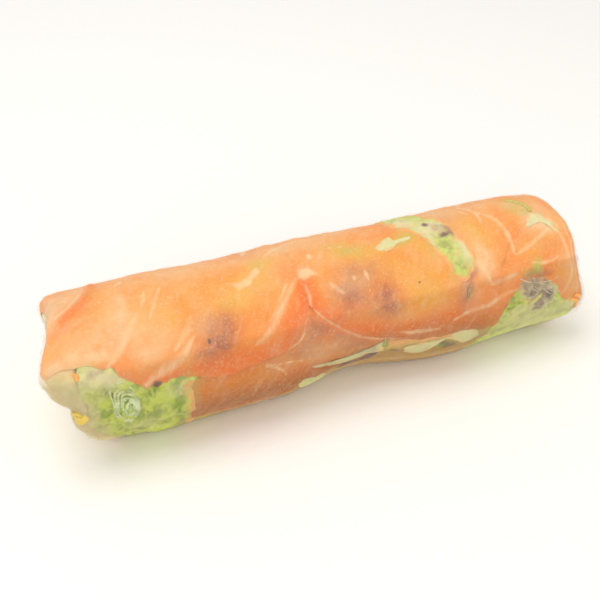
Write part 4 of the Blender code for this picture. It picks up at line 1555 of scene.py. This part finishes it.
# Carrot shreds: raw, wet and bright orange, cut about 1 mm wide.
carrot, tree, shader, coordinates = start_material("shredded carrot")
CARROT_ORANGE = colour("#FF9A2C")
CARROT_PALE = colour("#FFBE5A")
fibre = add_node(
    tree, "ShaderNodeTexNoise", {"Vector": coordinates, "Scale": 1 / (0.9 * MM), "Detail": 3.0}
)
carrot_colour = add_node(
    tree, "ShaderNodeMix", {0: fibre.outputs["Fac"], 6: CARROT_ORANGE, 7: CARROT_PALE}, data_type="RGBA"
)
set_inputs(tree, shader, {
    "Base Color": carrot_colour.outputs[2], "Roughness": 0.35, "Subsurface Weight": 0.2,
    "Subsurface Scale": 1.0 * MM,
})
LEFT_SHREDS = [[(-67.9, 37.5), (-67.4, 35), (-67.5, 32.2)]]
RIGHT_SHREDS = [
    [(67.4, -8), (69, -10.5), (70.2, -15)],
    [(69.4, -17), (70.4, -20), (70.8, -24)],
    [(68.8, -4), (70, -6.4), (70.8, -9)],
]
SHRED_DEPTH = 0.22
shred_runs = laid_runs(LEFT_SHREDS, 12, SHRED_DEPTH) + laid_runs(RIGHT_SHREDS, 24, SHRED_DEPTH)
add_strands("carrot_shreds", shred_runs, 1.2, 6, carrot, "salmon_slice_right", seed=3.0)

# A herb stem, thin and fresh, lies across the top near the right end.
stem, tree, shader, coordinates = start_material("herb stem")
STEM_BRIGHT = colour("#E4D27A")
STEM_DARK = colour("#B0A048")
stripe = add_node(
    tree, "ShaderNodeTexNoise", {"Vector": coordinates, "Scale": 1 / (1.0 * MM), "Detail": 2.0}
)
stem_colour = add_node(
    tree, "ShaderNodeMix", {0: stripe.outputs["Fac"], 6: STEM_BRIGHT, 7: STEM_DARK}, data_type="RGBA"
)
set_inputs(tree, shader, {"Base Color": stem_colour.outputs[2], "Roughness": 0.4})
stem_runs = laid_runs([[(59.4, 103), (60.6, 100), (62, 95), (63, 89.5), (63.2, 85), (62.8, 81)]], 36, 0.1)
add_strands("herb_stems", stem_runs, 1.25, 6, stem, "lettuce_leaf_right", seed=4.0)

# ---- The rice paper -----------------------------------------------------------------------
# One round sheet of rice paper, dipped in water till it turns soft and clear, wound once round
# the filling and a little further, with its two ends folded in. It clings where the filling
# touches it, and looks milky where air lies behind it or where it is folded double.

PAPER_THICKNESS = 0.25
CLEARANCE = 0.12
DEEPEST_SAG = 1.9
CELL, CELL_ANGLE = 1.0, 3.0
FIRST_CELL, CELLS, CELLS_ROUND = -95.0, 191, 120
PAPER_SPACING = 0.82
PINHOLE = 0.7


def blurred(heights, times):
    """A table of the roll's surface, softened. It joins up round the roll."""
    for _ in range(times):
        heights = 0.25 * np.roll(heights, 1, axis=1) + 0.5 * heights + 0.25 * np.roll(heights, -1, axis=1)
        padded = np.vstack([heights[:1], heights, heights[-1:]])
        heights = 0.25 * padded[:-2] + 0.5 * padded[1:-1] + 0.25 * padded[2:]
    return heights


def lay_tops(heights, tops):
    """Marks in a table of the roll's surface how deep the topmost thing lies at each cell."""
    for x, angle, depth in tops:
        column = np.clip(np.rint((x - FIRST_CELL) / CELL).astype(int), 0, CELLS - 1)
        row = np.rint((angle + 180.0) / CELL_ANGLE).astype(int) % CELLS_ROUND
        np.minimum.at(heights, (column.ravel(), row.ravel()), depth.ravel())
    return heights


def looked_up(table, x, angle):
    """The value of a table of the roll's surface at a place, blended between its cells."""
    column = np.clip((x - FIRST_CELL) / CELL, 0.0, CELLS - 1.001)
    row = ((angle + 180.0) / CELL_ANGLE) % CELLS_ROUND
    c, r = np.floor(column).astype(int), np.floor(row).astype(int)
    fc, fr = column - c, row - r
    following = (r + 1) % CELLS_ROUND
    r = r % CELLS_ROUND
    low = table[c, r] * (1.0 - fr) + table[c, following] * fr
    high = table[c + 1, r] * (1.0 - fr) + table[c + 1, following] * fr
    return low * (1.0 - fc) + high * fc


def paper_columns():
    """Places across the sheet: up one end face, over its corner, along the roll and down the
    other face."""
    lean = np.radians(np.linspace(0.0, 90.0, 10))[1:-1]
    left_face = np.arange(LEFT_LENGTH + RADIUS - LEFT_CORNER - PINHOLE, LEFT_LENGTH, -PAPER_SPACING)
    right_face = np.arange(RIGHT_LENGTH + RADIUS - RIGHT_CORNER - PINHOLE, RIGHT_LENGTH, -PAPER_SPACING)
    left_corner = LEFT_LENGTH - LEFT_CORNER + LEFT_CORNER * np.sin(lean)
    right_corner = RIGHT_LENGTH - RIGHT_CORNER + RIGHT_CORNER * np.sin(lean)
    side = np.arange(LEFT_CORNER - LEFT_LENGTH, RIGHT_LENGTH - RIGHT_CORNER, PAPER_SPACING)
    return np.concatenate(
        [
            -left_face, [-LEFT_LENGTH], -left_corner[::-1], side, right_corner, [RIGHT_LENGTH],
            right_face[::-1],
        ]
    )


# Folded rice paper: several wet layers one on another, so it is nearly opaque, a warm cream with
# the orange of the fish showing through beside it.
FOLD_TOP = 0.12  # how deep the folded ends lie where nothing covers them
FOLD_START = 60.0  # how far from the middle of the roll they begin
folded_paper, tree, shader, coordinates = start_material("folded rice paper")
FOLD_CREAM = colour("#E2DCA6")
FOLD_SHADE = colour("#CCC684")
FOLD_ORANGE = colour("#F4BC84")
FOLD_END = colour("#F2E8C6")
layers = add_node(
    tree, "ShaderNodeTexNoise", {"Vector": coordinates, "Scale": 1 / (5.0 * MM), "Detail": 4.0}
)
layered = add_node(tree, "ShaderNodeMapRange", {0: layers.outputs["Fac"], 1: 0.35, 2: 0.65})
cream_fold = add_node(
    tree, "ShaderNodeMix", {0: layered.outputs[0], 6: FOLD_SHADE, 7: FOLD_CREAM}, data_type="RGBA"
)
beside = add_node(tree, "ShaderNodeAttribute", attribute_name="orange")
frayed = add_node(
    tree, "ShaderNodeMath", {0: layers.outputs["Fac"], 1: 0.8, 2: beside.outputs["Fac"]},
    operation="MULTIPLY_ADD",
)
orange = add_node(tree, "ShaderNodeMapRange", {0: frayed.outputs[0], 1: 0.4, 2: 1.3, 3: 0.0, 4: 0.9})
beside_fish = add_node(
    tree, "ShaderNodeMix", {0: orange.outputs[0], 6: cream_fold.outputs[2], 7: FOLD_ORANGE},
    data_type="RGBA",
)
on_end = add_node(tree, "ShaderNodeAttribute", attribute_name="on_end")
fold_colour = add_node(
    tree, "ShaderNodeMix", {0: on_end.outputs["Fac"], 6: beside_fish.outputs[2], 7: FOLD_END},
    data_type="RGBA",
)
set_inputs(tree, shader, {
    "Base Color": fold_colour.outputs[2], "Roughness": 0.4, "Specular IOR Level": 0.3,
    "Subsurface Weight": 0.3, "Subsurface Scale": 1.0 * MM,
})

heights = lay_tops(np.full((CELLS, CELLS_ROUND), DEEPEST_SAG), tops)
covered_cells = blurred((heights < DEEPEST_SAG - 0.2).astype(float), 2)


def write_both_faces(piece, **grids):
    """Stores numbers that are given on a sheet's grid for the points of both its faces."""
    for name, values in grids.items():
        both, _ = closed_sheet(values[..., None], values[..., None])
        write(piece, name, both[:, 0])


def add_end_fold(name, side, length, corner):
    """The sheet's side, folded in over one end of the filling in overlapping pleats."""
    middle = length + RADIUS - corner
    reach = np.append(np.arange(FOLD_START, middle - 0.6, 0.9), middle - 0.05)
    angle = np.linspace(-180.0, 180.0, 145)
    x, angle = np.meshgrid(side * reach, angle, indexing="ij")
    if side < 0:
        x, angle = x[::-1], angle[::-1]
    on_face = smooth_step(length - 2.0, length + 3.0, np.abs(x))
    random = np.random.default_rng(31 if side < 0 else 37)
    bend = 0.25 * np.sin(np.radians(angle * 2.0 + random.uniform(0, 360)))
    pleat = (angle / 360.0 * 7.0 + bend + 0.012 * np.abs(x)) % 1.0
    fold = 0.8 * smooth_step(0.0, 0.16, pleat) * (1.0 - pleat)
    under = smooth_step(0.55, 1.0, looked_up(covered_cells, x, angle))
    ear = 0.0
    if side < 0:
        ear = np.exp(-(((np.abs(x) - length) / 2.5) ** 2) - ((angle - EAR_ANGLE) / 22.0) ** 2)
    depth = first_layer(angle) + FOLD_TOP + 1.7 * under + on_face * (0.7 - fold) * (1.0 - ear) - 0.5 * ear
    depth = depth + 0.15 * uneven(place(x, angle), 8.0, 33)
    outer, inner = place(x, angle, depth), place(x, angle, depth + PAPER_THICKNESS)
    points, faces = closed_sheet(outer, inner)
    piece = add_piece(name, points, faces.tolist(), folded_paper, "rice_paper_wrapper")
    if side < 0:
        piece.data.flip_normals()
    lay_tops(heights, [(x, angle, depth)])
    near_fish = looked_up(blurred(covered_cells, 6), x, angle) * smooth_step(20.0, 50.0, angle % 360.0)
    write_both_faces(piece, orange=near_fish, on_end=0.8 * on_face)


add_end_fold("paper_fold_left", -1, LEFT_LENGTH, LEFT_CORNER)
add_end_fold("paper_fold_right", 1, RIGHT_LENGTH, RIGHT_CORNER)

nearest = heights.copy()
for across in (-1, 0, 1):
    for around in (-1, 0, 1):
        nearest = np.minimum(nearest, np.roll(heights, (across, around), axis=(0, 1)))
draped = blurred(np.minimum(blurred(heights, 4), nearest), 1)

# Wetted rice paper: clear and faintly milky, with fine bubbles in it. Where it is folded it is
# a warm beige. A soft satin gloss lies over it.
paper, tree, shader, coordinates = start_material("wetted rice paper")
PAPER_MILK = colour("#FBE6C8")
PAPER_FOLD = colour("#E6D5A0")
BUBBLE_SPACING = 1.1  # real ones are finer; these are as coarse as they need to be to show
marks = {
    name: add_node(tree, "ShaderNodeAttribute", attribute_name=name).outputs["Fac"]
    for name in ("air", "fold", "lapped")
}
bubbles = add_node(
    tree, "ShaderNodeTexVoronoi", {"Vector": coordinates, "Scale": 1 / (BUBBLE_SPACING * MM)}
)
bubble = add_node(
    tree, "ShaderNodeMapRange", {0: bubbles.outputs["Distance"], 1: 0.08, 2: 0.26, 3: 0.05, 4: 0.0},
    interpolation_type="SMOOTHSTEP",
)
haze = add_node(tree, "ShaderNodeTexNoise", {"Vector": coordinates, "Scale": 1 / (7.0 * MM), "Detail": 3.0})
hazy = add_node(tree, "ShaderNodeMapRange", {0: haze.outputs["Fac"], 1: 0.3, 2: 0.7, 3: 0.01, 4: 0.05})
facing = add_node(tree, "ShaderNodeLayerWeight", {"Blend": 0.25})
milk = add_node(tree, "ShaderNodeMath", {0: bubble.outputs[0], 1: hazy.outputs[0]}, operation="ADD")
for cause, share in ((marks["air"], 0.1), (marks["fold"], 0.4), (facing.outputs["Facing"], 0.03)):
    milk = add_node(
        tree, "ShaderNodeMath", {0: cause, 1: share, 2: milk.outputs[0]}, operation="MULTIPLY_ADD"
    )
clear = add_node(tree, "ShaderNodeMapRange", {0: marks["lapped"], 3: 1.0, 4: 0.12})
milky = add_node(
    tree, "ShaderNodeMath", {0: milk.outputs[0], 1: clear.outputs[0]}, operation="MULTIPLY", use_clamp=True
)
paper_colour = add_node(
    tree, "ShaderNodeMix", {0: marks["fold"], 6: PAPER_MILK, 7: PAPER_FOLD}, data_type="RGBA"
)
skin = add_node(tree, "ShaderNodeTexNoise", {"Vector": coordinates, "Scale": 1 / (1.6 * MM), "Detail": 3.0})
skin_bump = add_node(
    tree, "ShaderNodeBump", {"Strength": 0.25, "Distance": 0.15 * MM, "Height": skin.outputs["Fac"]}
)
set_inputs(tree, shader, {
    "Base Color": paper_colour.outputs[2], "Alpha": milky.outputs[0], "Normal": skin_bump.outputs[0],
    "Roughness": 0.3, "IOR": 1.33, "Specular IOR Level": 0.3,
})


LOW_CREASES, END_CREASES = 26, 30


def crease_runs():
    """Fine creases low on the front and towards both ends, where the wet paper was drawn tight."""
    random = np.random.default_rng(23)
    runs = []
    for _ in range(LOW_CREASES):
        x, angle = random.uniform(-30.0, 66.0), random.uniform(-52.0, -22.0)
        long, rise = random.uniform(4.0, 12.0), random.uniform(-14.0, 14.0)
        run = [(x, angle), (x + long / 2, angle + rise * 0.6), (x + long, angle + rise)]
        runs.append((random.uniform(0.3, 0.6), run))
    for _ in range(END_CREASES):
        end = random.choice([-1.0, 1.0])
        x, angle = end * random.uniform(64.0, 70.0), random.uniform(-180.0, 180.0)
        bends = random.uniform(-5.0, 5.0), random.uniform(-9.0, 9.0)
        run = [(x, angle), (x + end * 4.0, angle + bends[0]), (x + end * 10.0, angle + bends[1])]
        runs.append((random.uniform(0.3, 0.7), run))
    return runs


# Where the paper lies in several wet layers over the left end.
SOAKED_SPOTS = [
    (-73.5, 26, 3.0, 16, 0.8), (-75, 0, 4, 18, 0.9), (-72, -22, 4, 18, 0.6), (-73, 98, 2.5, 12, 0.3)
]


def add_paper():
    """The sheet, wound from its inner edge at the seam and lapped over it, draped over what it
    holds and drawn smooth between."""
    columns = paper_columns()
    rows = int((360.0 + OVERLAP) * DEGREE / PAPER_SPACING)
    x, angle = np.meshgrid(columns, np.linspace(SEAM, SEAM + 360.0 + OVERLAP, rows), indexing="ij")
    tuck = smooth_step(300.0, SEAM + 358.0, angle) * (DOUBLE_PAPER + 0.05)
    places = np.column_stack([x.ravel(), turned(angle.ravel(), 0.0)])
    crease = np.exp(-(nearness(places, crease_runs()) ** 2)).reshape(x.shape)
    surface = place(x, angle)
    fine = 0.05 * uneven(surface, 2.6, 81) + 0.06 * uneven(surface, 5.5, 82)
    rest = looked_up(draped, x, angle) - (first_layer(angle) - FIRST_DEPTH)
    outside = rest - PAPER_THICKNESS - CLEARANCE - 0.16 * crease + fine * 0.7 + tuck
    points, faces = closed_sheet(place(x, angle, outside), place(x, angle, outside + PAPER_THICKNESS))
    piece = add_piece("rice_paper", points, faces.tolist(), paper, "rice_paper_wrapper")
    piece.data.set_sharp_from_angle(angle=math.radians(SHARP_RIM))
    behind = looked_up(heights, x, angle) - looked_up(draped, x, angle)
    air = np.clip(behind / 1.1, 0.0, 1.0) + 0.5 * crease
    end_face = smooth_step(-2.0, 5.0, np.where(x < 0.0, -x - LEFT_LENGTH, x - RIGHT_LENGTH))
    soaked = patches(places, SOAKED_SPOTS).reshape(x.shape)
    lapped = smooth_step(325.0, 332.0, angle)
    write_both_faces(piece, air=air, fold=np.clip(0.25 * end_face + soaked, 0.0, 1.0), lapped=lapped)


add_paper()

# ---- The table, the light and the camera --------------------------------------------------
# A plain white table top, one large soft lamp overhead, weaker ones in front and at the right,
# and a bright room round them.

TABLE_WHITE = colour("#FDFCFA")
bpy.ops.mesh.primitive_plane_add(size=6.0, location=(0.0, 0.0, -0.0002))
table = bpy.context.object
table.name = "table_top"
table_top, tree, shader, coordinates = start_material("matt white laminate")
set_inputs(tree, shader, {"Base Color": TABLE_WHITE, "Roughness": 0.6})
table.data.materials.append(table_top)


def add_lamp(name, place_of_lamp, size, watts, tint):
    """A round soft lamp that faces the roll."""
    lamp = bpy.data.lights.new(name, "AREA")
    lamp.shape, lamp.size, lamp.energy, lamp.color = "DISK", size, watts, colour(tint)[:3]
    holder = bpy.data.objects.new(name, lamp)
    holder.location = place_of_lamp
    x, y, z = place_of_lamp
    holder.rotation_euler = (math.atan2(math.hypot(x, y), z), 0.0, math.atan2(x, -y))
    bpy.context.scene.collection.objects.link(holder)


add_lamp("overhead_softbox", (-0.15, 0.12, 0.75), 0.6, 2.35, "#FFFCF6")
add_lamp("front_softbox", (-0.45, -0.65, 0.45), 0.5, 1.7, "#FFF0D8")
add_lamp("right_softbox", (0.42, -0.42, 0.3), 0.4, 0.55, "#FFF0DA")

world = bpy.data.worlds.new("bright_room")
world.use_nodes = True
world.node_tree.nodes["Background"].inputs["Color"].default_value = colour("#FFFFFF")
world.node_tree.nodes["Background"].inputs["Strength"].default_value = 0.64
bpy.context.scene.world = world
bpy.context.scene.view_settings.view_transform = "Standard"

lens = bpy.data.cameras.new("camera")
lens.sensor_width = 36.0
lens.lens = 57.0
lens.clip_start = 0.01
camera = bpy.data.objects.new("camera", lens)
CAMERA_PLACE = (-80.8, -191.0, 183.9)  # mm, in the frame of roll_point
CAMERA_DOWN, CAMERA_ROUND = 38.3, -21.38
camera.location = (np.array(CAMERA_PLACE) - MIDDLE) * MM
camera.rotation_euler = Euler((math.radians(90.0 - CAMERA_DOWN), 0.0, math.radians(CAMERA_ROUND)))
bpy.context.scene.collection.objects.link(camera)
bpy.context.scene.camera = camera
